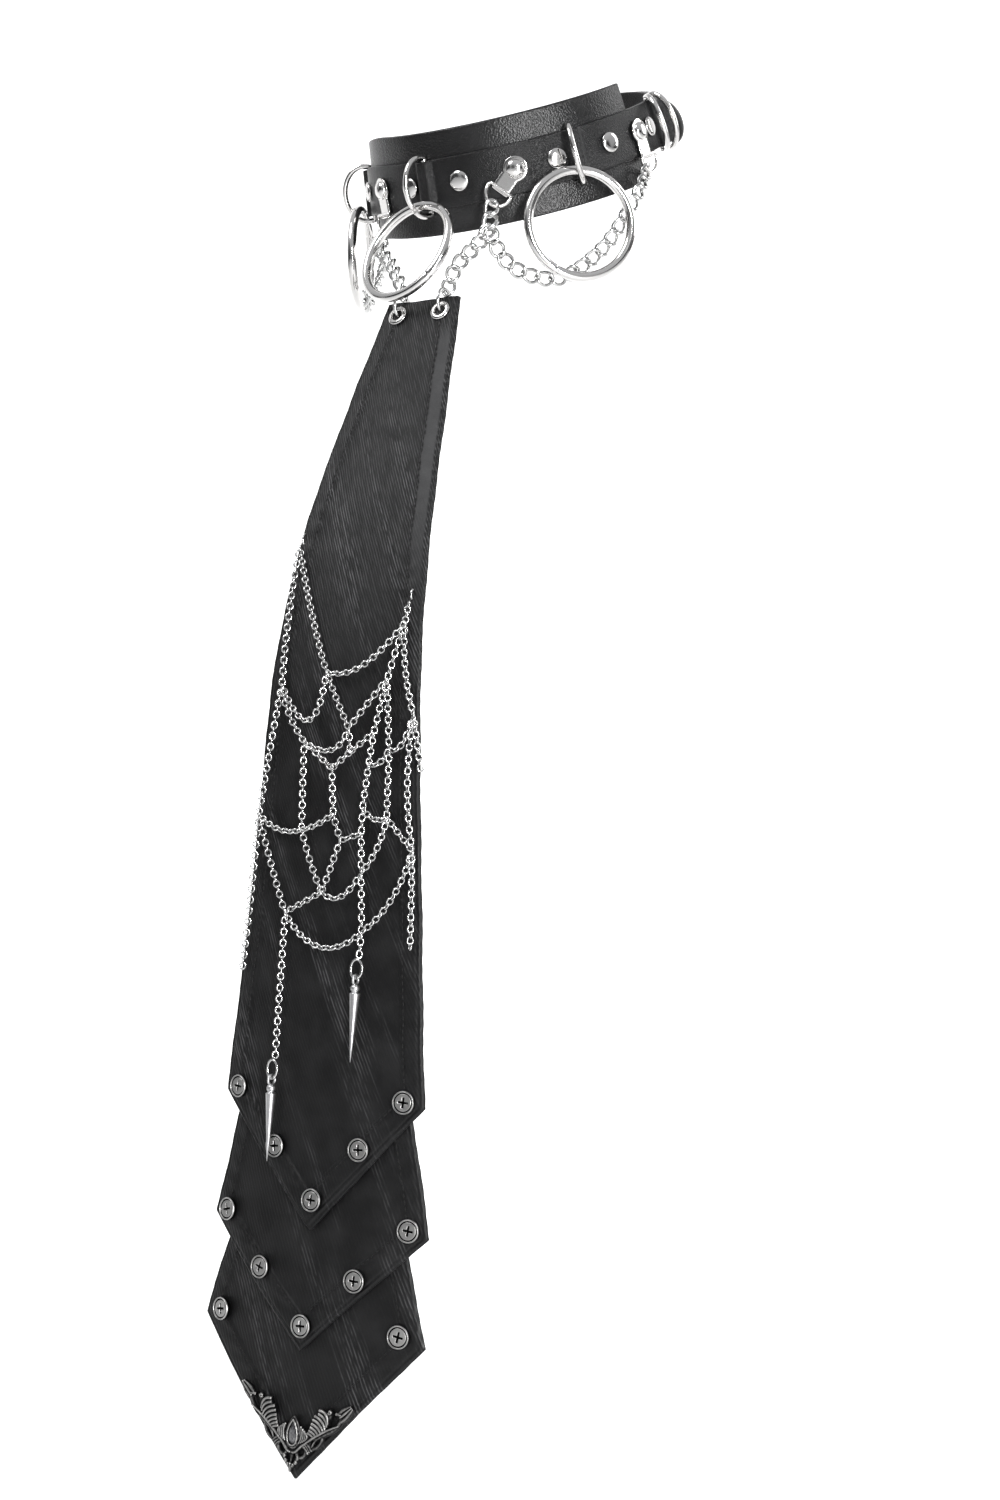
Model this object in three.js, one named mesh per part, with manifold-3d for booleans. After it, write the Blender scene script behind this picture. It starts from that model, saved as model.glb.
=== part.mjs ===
// Chain necktie: a leather collar with ring hardware, curb chains and a tie in three layers.
// Millimetres, Z up. The front faces -Y and the wearer's left is +X.
// The origin is the centre of the collar's neck opening.
import * as THREE from 'three';
import { mergeVertices } from 'three/addons/utils/BufferGeometryUtils.js';
import Module from 'manifold-3d';

const wasm = await Module();
wasm.setup();

// Clearance between neighbouring pieces
const GAP = 0.3;

// The collar is a slightly conical band with a strap round its middle. It leans forward at the top.
const COLLAR = {
  lean: 25,
  flare: 8,
  bandRadius: 63.7,
  bandWall: 2,
  bandHalfHeight: 21,
  bandArc: 84,
  strapWall: 1.6,
  strapHalfHeight: 10,
  droop: 6,
};
const STRAP_INNER = COLLAR.bandRadius + GAP + 0.1;
const STRAP_OUTER = STRAP_INNER + COLLAR.strapWall;
const ARC_STEP = 6;

// D-rings that the strap holds: a straight bar behind the strap and a bow in front of it
const D_RING = { wire: 2.3, half: 12, slack: 0.4, leg: 3, reach: 12.2, corner: 1, arc: 10, sides: 6 };
const BAR_RADIUS = COLLAR.bandRadius + GAP + D_RING.wire / 2;
const HUMP = { height: BAR_RADIUS + D_RING.wire / 2 + GAP - STRAP_INNER, flat: 1.8, foot: 3.9 };

// O-rings that hang from the D-rings
const O_RING = { radius: 22, wire: 4, steps: 22, sides: 8 };

// Places round the collar are degrees from the front towards the wearer's left.
// low is where the O-ring hangs, in degrees up the bow from its lower end.
const RINGS = [
  { name: 'front', at: -5, swing: -10, rivet: -12.8, facing: -9, lean: 23, low: 30 },
  { name: 'left', at: 53.3, swing: -25, rivet: 45.6, facing: 46, lean: 0, low: 38 },
  { name: 'right', at: -65, swing: 5, rivet: -72.7, facing: -66, lean: 0, low: 34 },
];
const CLOSURE_RINGS = [
  { name: 'first', at: 101.2, swing: -57 },
  { name: 'second', at: 104.4, swing: -38 },
];
const PLAIN_RIVETS = [
  { name: 'front', at: 9 },
  { name: 'left', at: 68 },
  { name: 'right', at: -49 },
  { name: 'closure', at: 93.6 },
];
const RIVET = { radius: 4.2, rim: 0.7, height: 1.6, sides: 12 };

// The strap's tail leaves the closure in a drooping, rounded bulge and lies along the strap behind it
const TAIL = { flat: 67, peak: 74, droop: 2.4, crown: 0.96 };
const TAIL_ROWS = [
  { at: 108.9, radius: 67 },
  { at: 109.6, radius: 68.2 },
  { at: 110.6, radius: 71.2 },
  { at: 111.8, radius: 73.4 },
  { at: 113.2, radius: 74 },
  { at: 114.8, radius: 73.4 },
  { at: 116.4, radius: 71.2 },
  { at: 118.2, radius: 68.2 },
  { at: 120, radius: 67 },
  { at: 126, radius: 67 },
  { at: 132, radius: 67 },
  { at: 138, radius: 67 },
  { at: 144, radius: 67 },
  { at: 150, radius: 67 },
  { at: 156, radius: 67 },
];

// Tabs riveted to the strap, each with a folded end that holds a small D-ring
const TABS = [
  { name: 'front_left', at: 30, tilt: -48, grip: 0.1 },
  { name: 'front_right', at: -30.5, tilt: 8, grip: 0.2 },
  { name: 'back_left', at: 84.5, tilt: -4, grip: -0.45 },
  { name: 'back_right', at: -86.5, tilt: 4, grip: 0.45 },
];
const TAB = { halfWidth: 5.2, neck: 3.8, thick: 1, drop: 10, barrel: 1.75, bore: 1.05, barrelHalf: 3.9, sides: 8 };
const DOME = { radius: 3.9, height: 2.2, sides: 10 };
const SMALL_D = { wire: 1.4, half: 5.4, leg: 1.2, reach: 7.6, corner: 0.9, arc: 9, sides: 5 };

// Curb chain links. pitch is from one joint to the next, and hook is how far an end link's inside
// is past the middle of the wire that it hangs on.
const LINK = { pitch: 6.1, width: 7, wire: 1.4, steps: 10, sides: 5, lean: 40, endLean: 80, bite: 0.2, hook: 1.6 };

// The tie's front face falls forward over the chest. reach is how far it stands before the origin
// at each drop below it, in even steps, and half is the front layer's half width there.
const FALL = { start: 75, step: 50 };
const TIE_FALL = [
  { reach: 69.5, half: 17.5 },
  { reach: 92.3, half: 24.8 },
  { reach: 113.0, half: 31.0 },
  { reach: 126.6, half: 35.2 },
  { reach: 132.4, half: 38.3 },
  { reach: 136.4, half: 41.5 },
  { reach: 142.0, half: 45.5 },
  { reach: 147.0, half: 49.4 },
  { reach: 153.6, half: 49.4 },
  { reach: 158.6, half: 49.4 },
  { reach: 162.6, half: 49.4 },
];
const TIE = { bow: 210, wall: 1.6, tipHalf: 0.5, columns: 6 };
const LAYER_STEP = TIE.wall + GAP + 0.45;
// cornerShift and tipShift are how far each layer has slipped sideways
const LAYERS = [
  { name: 'front', top: 78, corner: 398, cornerHalf: 47.6, tip: 446.5, rows: 10, cornerShift: -0.8, tipShift: 1.2 },
  { name: 'middle', top: 352, topHalf: 30, corner: 446, cornerHalf: 51.8, tip: 492, rows: 4, cornerShift: -1, tipShift: -1.4 },
  { name: 'back', top: 404, topHalf: 28, corner: 486, cornerHalf: 54.2, tip: 540, rows: 4, cornerShift: -2.7, tipShift: -1.2 },
];
const POINT_ROWS = 3;

// Buttons along each layer's pointed end: across from the centre line, and drop
const BUTTON = { radius: 4.5, height: 2, rim: 0.8, well: 0.9, sides: 8 };
const BUTTONS = [
  { layer: 0, across: -39.5, drop: 396 },
  { layer: 0, across: -17.8, drop: 416.8 },
  { layer: 0, across: 1.8, drop: 435.3 },
  { layer: 0, across: 21.3, drop: 414.8 },
  { layer: 0, across: 38.8, drop: 396 },
  { layer: 1, across: -43.7, drop: 444.2 },
  { layer: 1, across: -22.8, drop: 463.3 },
  { layer: 1, across: -0.3, drop: 482.5 },
  { layer: 1, across: 22.2, drop: 463.3 },
  { layer: 1, across: 42.9, drop: 443.2 },
  { layer: 2, across: -45.5, drop: 483 },
  { layer: 2, across: 41, drop: 482.2 },
];

// Eyelets near the tie's top corners, and the jump rings through them
const EYELET = { across: 10.5, drop: 84, bore: 2.2, radius: 4.4, lip: 0.9, barrel: 0.6, sides: 10 };
const JUMP_RING = { radius: 5.2, wire: 1.4, steps: 12, sides: 6 };

// The cobweb of fine chain over the front layer: its section as half widths at heights above the
// layer, its knots by across and drop, and its strands. sag is how far a strand's middle hangs
// below its chord, and bulge how far it moves to +X.
const WEB_SECTION = [
  { half: 0.6, height: 3.4 },
  { half: 1.2, height: 2.5 },
  { half: 0.6, height: 1.6 },
];
const KNOTS = {
  leftAnchor: [28.4, 206.9],
  rightAnchor: [-29.2, 182.1],
  a: [-27.7, 237.8],
  b: [-36.4, 289],
  c: [-5.2, 233.3],
  d: [27.9, 214.8],
  e: [34.8, 250.5],
  f: [22.9, 236.4],
  g: [7.1, 255.1],
  h: [18.5, 257],
  i: [25.5, 263.6],
  j: [-14.1, 260.2],
  k: [0.3, 270.7],
  l: [-13, 294.7],
  m: [2, 288.3],
  n: [17, 269.1],
  o: [15.3, 285.9],
  p: [25.9, 289.4],
  q: [36.9, 301.6],
  r: [-19.5, 327.1],
  s: [15.8, 310.8],
  t: [5.9, 298.5],
  u: [-1.8, 318.6],
  v: [17.4, 333.3],
  midBar: [8.4, 264.3],
  midDrop: [15.2, 295.6],
  endOuter: [-41, 350.3],
  endShort: [39, 271.5],
  endInner: [38.1, 339],
  leftSpike: [17, 342.8],
  rightSpike: [-19.5, 383.2],
};
const STRANDS = [
  { from: 'rightAnchor', to: 'a', steps: 2 },
  { from: 'rightAnchor', to: 'c', steps: 2 },
  { from: 'leftAnchor', to: 'd', steps: 1 },
  { from: 'a', to: 'b', steps: 2 },
  { from: 'a', to: 'c', steps: 4, sag: 16.5, bulge: 4 },
  { from: 'a', to: 'j', steps: 2, bulge: -2 },
  { from: 'c', to: 'd', steps: 3, sag: 7 },
  { from: 'c', to: 'g', steps: 1 },
  { from: 'd', to: 'e', steps: 2, bulge: -1.2 },
  { from: 'd', to: 'f', steps: 1 },
  { from: 'f', to: 'g', steps: 1 },
  { from: 'f', to: 'h', steps: 1 },
  { from: 'f', to: 'i', steps: 1 },
  { from: 'j', to: 'g', steps: 3, sag: 6, bulge: 3 },
  { from: 'j', to: 'k', steps: 1 },
  { from: 'k', to: 'midBar', steps: 1 },
  { from: 'midBar', to: 'h', steps: 1 },
  { from: 'g', to: 'midBar', steps: 1 },
  { from: 'j', to: 'l', steps: 2 },
  { from: 'k', to: 'm', steps: 1 },
  { from: 'h', to: 'n', steps: 1 },
  { from: 'n', to: 'i', steps: 2, sag: 2.5 },
  { from: 'i', to: 'e', steps: 2, sag: 4.5, bulge: 0.5 },
  { from: 'e', to: 'endShort', steps: 1 },
  { from: 'e', to: 'q', steps: 2, bulge: -2 },
  { from: 'n', to: 'o', steps: 1 },
  { from: 'i', to: 'p', steps: 1 },
  { from: 'o', to: 'p', steps: 2, sag: 2.5 },
  { from: 'o', to: 'midDrop', steps: 1 },
  { from: 'midDrop', to: 's', steps: 1 },
  { from: 's', to: 'v', steps: 1 },
  { from: 'b', to: 'endOuter', steps: 2 },
  { from: 'b', to: 'l', steps: 2, sag: 3 },
  { from: 'l', to: 'm', steps: 2, sag: 1 },
  { from: 'l', to: 'u', steps: 2, sag: 1.5 },
  { from: 'u', to: 's', steps: 2, sag: 5.5 },
  { from: 'b', to: 'r', steps: 2, sag: 1 },
  { from: 'm', to: 't', steps: 1 },
  { from: 't', to: 'midDrop', steps: 1 },
  { from: 't', to: 'u', steps: 1 },
  { from: 'u', to: 'r', steps: 1 },
  { from: 'p', to: 's', steps: 2, sag: 1, bulge: 1.5 },
  { from: 'p', to: 'q', steps: 1 },
  { from: 'q', to: 'v', steps: 2, sag: 2.5, bulge: 2.5 },
  { from: 'v', to: 'r', steps: 4, sag: 9.5 },
  { from: 'q', to: 'endInner', steps: 2 },
  { from: 'r', to: 'rightSpike', steps: 2 },
  { from: 'v', to: 'leftSpike', steps: 1 },
];
const ANCHOR = { above: 3.7, radius: 2.3, wire: 0.9, hole: 1.4, steps: 12, sides: 5 };

// Spikes below the web, each on an oval jump ring
const SPIKE = { length: 29.5, radius: 1.9, loop: 1.9, loopWire: 1, sides: 8, lift: 3.5 };
const SPIKE_RING = { halfLength: 3.6, halfWidth: 2.5, wire: 1 };

// The pierced corner piece on the back layer's point, and its teardrop stone
const CORNER = { across: -3.1, tipDrop: 536.7, turn: 2.5, stoneDrop: 522.2, thick: 1.4, raised: 2, floor: 0.6 };

const LEATHER = new THREE.MeshStandardMaterial({ color: 0x141414, roughness: 0.55, metalness: 0 });
const NICKEL = new THREE.MeshStandardMaterial({ color: 0xd9d7d2, roughness: 0.12, metalness: 1 });
const SILVER = new THREE.MeshStandardMaterial({ color: 0xcfcfcf, roughness: 0.2, metalness: 1 });
const STEEL = new THREE.MeshStandardMaterial({ color: 0xaaaaaa, roughness: 0.35, metalness: 1 });
const ANTIQUE = new THREE.MeshStandardMaterial({ color: 0x77756f, roughness: 0.4, metalness: 1 });
const STONE = new THREE.MeshStandardMaterial({ color: 0x4a4a4c, roughness: 0.15, metalness: 0 });

const radians = THREE.MathUtils.degToRad;
const lerp = THREE.MathUtils.lerp;

// A closed geometry as a solid that can be joined and cut
function solid(geometry) {
  const bare = geometry.clone();
  bare.deleteAttribute('normal');
  bare.deleteAttribute('uv');
  const welded = mergeVertices(bare, 1e-4);
  return new wasm.Manifold(new wasm.Mesh({
    numProp: 3,
    vertProperties: new Float32Array(welded.attributes.position.array),
    triVerts: new Uint32Array(welded.index.array),
  }));
}

// A solid's surface as a geometry
function surface(body) {
  const mesh = body.getMesh();
  const geometry = new THREE.BufferGeometry();
  geometry.setAttribute('position', new THREE.BufferAttribute(new Float32Array(mesh.vertProperties), 3));
  geometry.setIndex(new THREE.BufferAttribute(new Uint32Array(mesh.triVerts), 1));
  geometry.computeVertexNormals();
  return geometry;
}

// Several closed geometries fused into one
function fuse(geometries) {
  return surface(geometries.map(solid).reduce((whole, next) => whole.add(next)));
}

// A closed geometry with others cut out of it
function cut(geometry, tools) {
  return surface(tools.map(solid).reduce((whole, tool) => whole.subtract(tool), solid(geometry)));
}

// A wall: place(row, column, side) gives its front (side 1) and back (side -1) points.
// Seen from the front, columns run to the right and rows run down. A looped wall has no row ends.
function wall(rows, columns, place, loop = false) {
  const positions = [];
  for (const side of [1, -1]) {
    for (const row of rows) {
      for (const column of columns) {
        positions.push(...place(row, column, side).toArray());
      }
    }
  }
  const width = columns.length;
  const backStart = rows.length * width;
  const front = (row, column) => (row % rows.length) * width + column;
  const back = (row, column) => backStart + front(row, column);
  const index = [];
  const quad = (a, b, c, d) => index.push(a, b, c, a, c, d);
  const spans = loop ? rows.length : rows.length - 1;
  const last = width - 1;
  for (let row = 0; row < spans; row++) {
    for (let column = 0; column < last; column++) {
      quad(front(row, column), front(row + 1, column), front(row + 1, column + 1), front(row, column + 1));
      quad(back(row, column), back(row, column + 1), back(row + 1, column + 1), back(row + 1, column));
    }
    quad(front(row, 0), back(row, 0), back(row + 1, 0), front(row + 1, 0));
    quad(front(row, last), front(row + 1, last), back(row + 1, last), back(row, last));
  }
  if (!loop) {
    for (let column = 0; column < last; column++) {
      quad(front(0, column), front(0, column + 1), back(0, column + 1), back(0, column));
      quad(front(spans, column), back(spans, column), back(spans, column + 1), front(spans, column + 1));
    }
  }
  const geometry = new THREE.BufferGeometry();
  geometry.setAttribute('position', new THREE.Float32BufferAttribute(positions, 3));
  geometry.setIndex(index);
  geometry.computeVertexNormals();
  return geometry;
}

// Evenly spaced values from start to end, both included
function spread(start, end, count) {
  return Array.from({ length: count }, (_, i) => lerp(start, end, i / (count - 1)));
}

// A wire bent round a closed loop in the XY plane, traced counter-clockwise, with one edge of its
// section on the inside of the loop
function wireLoop(points, wire, sides) {
  const positions = points.flatMap((point, i) => {
    const before = point.clone().sub(points.at(i - 1)).normalize();
    const after = points[(i + 1) % points.length].clone().sub(point).normalize();
    const outward = new THREE.Vector2(before.y + after.y, -before.x - after.x);
    const mitre = wire / outward.lengthSq();
    return Array.from({ length: sides }, (_, j) => {
      const angle = Math.PI + (j * 2 * Math.PI) / sides;
      const reach = mitre * Math.cos(angle);
      return [point.x + outward.x * reach, point.y + outward.y * reach, (wire / 2) * Math.sin(angle)];
    }).flat();
  });
  const index = [];
  for (let i = 0; i < points.length; i++) {
    const next = (i + 1) % points.length;
    for (let j = 0; j < sides; j++) {
      const k = (j + 1) % sides;
      const [a, b, c, d] = [i * sides + j, next * sides + j, next * sides + k, i * sides + k];
      index.push(a, b, c, a, c, d);
    }
  }
  const geometry = new THREE.BufferGeometry();
  geometry.setAttribute('position', new THREE.Float32BufferAttribute(positions, 3));
  geometry.setIndex(index);
  geometry.computeVertexNormals();
  return geometry;
}

// A turned piece whose axis points out of the face that it sits on: profile runs from the back,
// as [radius, height] pairs, and height is measured out of the face, along -Y.
function turned(profile, sides) {
  const points = profile.map(([radius, height]) => new THREE.Vector2(radius, height));
  const geometry = new THREE.LatheGeometry(points, sides);
  geometry.rotateX(Math.PI);
  return geometry;
}

// A flat outline in X and Z with a thickness out of the face, along -Y
function plate(shape, thick, curveSegments = 5) {
  const geometry = new THREE.ExtrudeGeometry(shape, { depth: thick, bevelEnabled: false, curveSegments });
  geometry.rotateX(Math.PI / 2);
  return geometry;
}

// Points round a D whose bar lies on the Y axis: half is half its bar, reach its depth along X,
// leg the straight part beside the bar
function dOutline({ half, reach, leg, corner, arc }) {
  const cut = corner * 0.3;
  const bow = spread(-Math.PI / 2, Math.PI / 2, arc + 1).map((angle) =>
    new THREE.Vector2(leg + (reach - leg) * Math.cos(angle), half * Math.sin(angle)));
  const end = (sign) => [
    new THREE.Vector2(cut, sign * (half - cut)),
    new THREE.Vector2(0, sign * (half - corner)),
  ];
  return [...bow, ...end(1), ...end(-1).reverse()];
}

const necktie = new THREE.Group();
const collar = new THREE.Group();
collar.rotation.x = radians(COLLAR.lean);
necktie.add(collar);

function addPiece(parent, name, geometry, material) {
  const mesh = new THREE.Mesh(geometry, material);
  mesh.name = name;
  parent.add(mesh);
  return mesh;
}

// A point of the collar's cone, in the collar's own frame. The wearer's right end droops a little.
function onCollar(at, radius, height) {
  const angle = radians(at);
  const here = radius - height * Math.tan(radians(COLLAR.flare));
  const droop = COLLAR.droop * THREE.MathUtils.smoothstep(-at, 30, 85);
  return new THREE.Vector3(here * Math.sin(angle), -here * Math.cos(angle), height - droop);
}

// A group on the collar with X along the strap, Z up the cone and -Y out of its face
function seat(at, radius, height = 0) {
  const flare = radians(COLLAR.flare);
  const angle = radians(at);
  const along = new THREE.Vector3(Math.cos(angle), Math.sin(angle), 0);
  const up = new THREE.Vector3(-Math.sin(flare) * Math.sin(angle), Math.sin(flare) * Math.cos(angle), Math.cos(flare));
  const inward = new THREE.Vector3().crossVectors(up, along);
  const group = new THREE.Group();
  group.quaternion.setFromRotationMatrix(new THREE.Matrix4().makeBasis(along, inward, up));
  group.position.copy(onCollar(at, radius, height));
  collar.add(group);
  return group;
}

function addBand() {
  const { bandArc, bandRadius, bandWall, bandHalfHeight } = COLLAR;
  const stations = spread(-bandArc, bandArc, Math.round((2 * bandArc) / ARC_STEP) + 1);
  const place = (at, height, side) => onCollar(at, side > 0 ? bandRadius : bandRadius - bandWall, height);
  addPiece(collar, 'collar_band', wall(stations, [-bandHalfHeight, bandHalfHeight], place), LEATHER);
}

// How far the strap is lifted over the bars at this place, from 0 to the hump's height
function lift(at) {
  const bars = [...RINGS, ...CLOSURE_RINGS];
  const nearest = Math.min(...bars.map((bar) => Math.abs(at - bar.at)));
  return HUMP.height * (1 - THREE.MathUtils.smoothstep(nearest, HUMP.flat, HUMP.foot));
}

function addStrap() {
  const bars = [...RINGS, ...CLOSURE_RINGS].map((bar) => bar.at);
  const clear = (at) => bars.every((bar) => Math.abs(at - bar) > HUMP.foot + 1);
  const plain = spread(-180, 180 - ARC_STEP, 360 / ARC_STEP).filter(clear);
  const middle = (HUMP.flat + HUMP.foot) / 2;
  const humps = bars.flatMap((bar) => [-HUMP.foot, -middle, -HUMP.flat, HUMP.flat, middle, HUMP.foot].map((d) => bar + d));
  const [first, second] = CLOSURE_RINGS.map((bar) => bar.at);
  const shared = humps.filter((at) => at <= first || at >= second);
  const stations = [...plain, ...shared, (first + second) / 2].sort((a, b) => a - b);
  const half = COLLAR.strapHalfHeight;
  const place = (at, height, side) => onCollar(at, (side > 0 ? STRAP_OUTER : STRAP_INNER) + lift(at), height);
  addPiece(collar, 'collar_strap', wall(stations, [-half, half], place, true), LEATHER);
}

// The bulge is highest in the middle of the tail's width, and it sinks by the droop
function addTail() {
  const { flat, peak, droop, crown } = TAIL;
  const half = COLLAR.strapHalfHeight - 0.4;
  const spot = (i, share) => {
    const rise = TAIL_ROWS[i].radius - flat;
    const radius = flat + rise * Math.sqrt(1 - (crown * share) ** 2);
    return onCollar(TAIL_ROWS[i].at, radius, share * half - (droop * rise) / (peak - flat));
  };
  const place = (i, share, side) => {
    const run = spot(Math.min(i + 1, TAIL_ROWS.length - 1), share).sub(spot(Math.max(i - 1, 0), share));
    const out = new THREE.Vector3(run.y, -run.x, 0).normalize();
    return spot(i, share).addScaledVector(out, (side * COLLAR.strapWall) / 2);
  };
  const columns = [-1, -0.7, 0, 0.7, 1];
  addPiece(collar, 'strap_tail', wall([...TAIL_ROWS.keys()], columns, place), LEATHER);
}

// A D-ring hangs by its bar, and its bow is swung round the bar
function addDRing(name, { at, swing }) {
  const group = seat(at, BAR_RADIUS, -D_RING.slack);
  group.rotateZ(radians(swing));
  const geometry = wireLoop(dOutline(D_RING), D_RING.wire, D_RING.sides);
  geometry.rotateX(Math.PI / 2);
  geometry.rotateZ(-Math.PI / 2);
  addPiece(group, name, geometry, NICKEL);
  return group;
}

// Where an O-ring's wire rests inside a D-ring's bow, in world space
function hangPoint(group, low) {
  const { half, leg, reach, wire } = D_RING;
  const angle = radians(low);
  const onBow = new THREE.Vector3(0, -leg - (reach - leg) * Math.sin(angle), -half * Math.cos(angle));
  const inward = new THREE.Vector3(0, half * Math.sin(angle), (reach - leg) * Math.cos(angle)).normalize();
  group.updateWorldMatrix(true, false);
  return group.localToWorld(onBow.addScaledVector(inward, (O_RING.wire + wire) / 2 + GAP + 0.35));
}

// An O-ring hangs over the D-ring's wire. Its group stands at the pivot, with X along the pivot's axis.
function addORing(ring, dRing) {
  const group = new THREE.Group();
  group.position.copy(hangPoint(dRing, ring.low));
  group.rotation.set(0, 0, radians(ring.facing));
  group.rotateX(-radians(ring.lean));
  const geometry = new THREE.TorusGeometry(O_RING.radius, O_RING.wire / 2, O_RING.sides, O_RING.steps);
  geometry.rotateX(Math.PI / 2);
  geometry.translate(0, 0, -O_RING.radius);
  necktie.add(group);
  addPiece(group, `o_ring_${ring.name}`, geometry, NICKEL);
}

function addRivet(name, at) {
  const { radius, rim, height, sides } = RIVET;
  const profile = [[0, 0], [radius, 0], [radius, rim], [radius * 0.6, height], [0, height]];
  addPiece(seat(at, STRAP_OUTER + GAP), name, turned(profile, sides), NICKEL);
}

function addTab({ name, at, tilt, grip }) {
  const { halfWidth, neck, thick, drop, barrel, bore, barrelHalf, sides } = TAB;
  const group = seat(at, STRAP_OUTER + GAP);
  group.rotateY(radians(-tilt));
  const shape = new THREE.Shape();
  shape.absarc(0, 0, halfWidth, radians(-20), radians(200), false);
  shape.lineTo(-neck, -drop * 0.62);
  shape.lineTo(-neck, -drop);
  shape.lineTo(neck, -drop);
  shape.lineTo(neck, -drop * 0.62);
  const dome = turned([[0, 0.2], [DOME.radius, 0.2], [DOME.radius, thick + 0.5],
    [DOME.radius * 0.7, thick + DOME.height * 0.8], [0, thick + DOME.height]], DOME.sides);
  const cover = turned([[0, -barrelHalf], [barrel, -barrelHalf], [barrel, barrelHalf], [0, barrelHalf]], sides);
  const channel = turned([[0, -halfWidth], [bore, -halfWidth], [bore, halfWidth], [0, halfWidth]], sides);
  for (const tube of [cover, channel]) {
    tube.rotateZ(Math.PI / 2);
    tube.translate(0, -barrel, -drop);
  }
  const body = cut(fuse([plate(shape, thick, 3), dome, cover]), [channel]);
  addPiece(group, `tab_${name}`, body, NICKEL);
  return addSmallD(group, name, grip);
}

// The small D-ring hangs plumb from the tab's barrel. The result is where the chain grips it.
function addSmallD(tab, name, grip) {
  tab.updateWorldMatrix(true, false);
  const centre = tab.localToWorld(new THREE.Vector3(0, -TAB.barrel, -TAB.drop));
  const bar = new THREE.Vector3(1, 0, 0).transformDirection(tab.matrixWorld);
  const up = new THREE.Vector3(0, 0, 1).addScaledVector(bar, -bar.z).normalize();
  const inward = new THREE.Vector3().crossVectors(up, bar);
  const group = new THREE.Group();
  group.quaternion.setFromRotationMatrix(new THREE.Matrix4().makeBasis(bar, inward, up));
  group.position.copy(centre);
  necktie.add(group);
  const { wire, half, leg, reach, sides } = SMALL_D;
  const geometry = wireLoop(dOutline(SMALL_D), wire, sides);
  geometry.rotateX(Math.PI / 2);
  geometry.rotateY(Math.PI / 2);
  addPiece(group, `small_d_${name}`, geometry, NICKEL);
  group.updateWorldMatrix(true, false);
  const angle = (grip * Math.PI) / 2;
  return group.localToWorld(new THREE.Vector3(half * Math.sin(angle), 0, -leg - (reach - leg) * Math.cos(angle)));
}

// One oval link about its centre, its length along one direction and its face square to another
function linkGeometry(centre, along, face, inside) {
  const { width, wire, steps, sides } = LINK;
  const long = (inside + wire) / 2 / Math.cos(Math.PI / steps);
  const points = Array.from({ length: steps }, (_, i) => {
    const angle = ((i + 0.5) * 2 * Math.PI) / steps;
    return new THREE.Vector2(long * Math.cos(angle), ((width - wire) / 2) * Math.sin(angle));
  });
  const across = new THREE.Vector3().crossVectors(face, along);
  const turn = new THREE.Matrix4().makeBasis(along, across, face);
  return wireLoop(points, wire, sides).applyMatrix4(turn.setPosition(centre));
}

// Interlocked links from one wire to another along a route. They face away from the neck, and
// lean to one side and the other of it by turns.
function linkChain(start, route, end, lastLean = LINK.endLean) {
  const hook = (wire, next) => wire.clone().addScaledVector(next.clone().sub(wire).normalize(), -LINK.hook);
  const ends = [hook(start, route[0]), hook(end, route.at(-1))];
  const curve = new THREE.CatmullRomCurve3([ends[0], ...route, ends[1]], false, 'centripetal');
  const count = Math.round(curve.getLength() / LINK.pitch);
  const joints = curve.getSpacedPoints(count);
  return joints.slice(1).map((joint, i) => {
    const along = joint.clone().sub(joints[i]);
    const inside = along.length() - LINK.bite;
    const centre = joint.clone().add(joints[i]).multiplyScalar(0.5);
    along.normalize();
    const face = new THREE.Vector3(centre.x, centre.y, 0).normalize();
    face.addScaledVector(along, -face.dot(along)).normalize();
    const lean = { 0: LINK.endLean, [count - 1]: lastLean }[i] ?? LINK.lean;
    face.applyAxisAngle(along, radians(i % 2 ? lean : -lean));
    return linkGeometry(centre, along, face, inside);
  });
}

// A value of the tie's table at any drop, smooth between its rows
function tieValue(column, drop) {
  const position = THREE.MathUtils.clamp((drop - FALL.start) / FALL.step, 0, TIE_FALL.length - 1);
  const i = Math.min(Math.floor(position), TIE_FALL.length - 2);
  const row = (k) => (k < 0 ? 2 * row(0) - row(1) : TIE_FALL[Math.min(k, TIE_FALL.length - 1)][column]);
  const t = position - i;
  const rise = (row(i + 1) - row(i - 1)) / 2;
  const nextRise = (row(i + 2) - row(i)) / 2;
  const a = 2 * row(i) - 2 * row(i + 1) + rise + nextRise;
  const b = -3 * row(i) + 3 * row(i + 1) - 2 * rise - nextRise;
  return ((a * t + b) * t + rise) * t + row(i);
}

// The tie's front face and its outward direction, and a point a height above it
function tieNormal(across, drop) {
  const slope = tieValue('reach', drop + 1) - tieValue('reach', drop - 1);
  return new THREE.Vector3(across / TIE.bow, -1, slope / 2).normalize();
}

function onTie(across, drop, height) {
  const y = (across * across) / (2 * TIE.bow) - tieValue('reach', drop);
  return new THREE.Vector3(across, y, -drop).addScaledVector(tieNormal(across, drop), height);
}

// A group on the face of one layer, with -Y out of it and Z up it
function tieSeat(across, drop, height) {
  const out = tieNormal(across, drop);
  const sideways = new THREE.Vector3(1, 0, 0).addScaledVector(out, -out.x).normalize();
  const inward = out.clone().negate();
  const up = new THREE.Vector3().crossVectors(sideways, inward);
  const group = new THREE.Group();
  group.quaternion.setFromRotationMatrix(new THREE.Matrix4().makeBasis(sideways, inward, up));
  group.position.copy(onTie(across, drop, height));
  necktie.add(group);
  return group;
}

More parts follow.
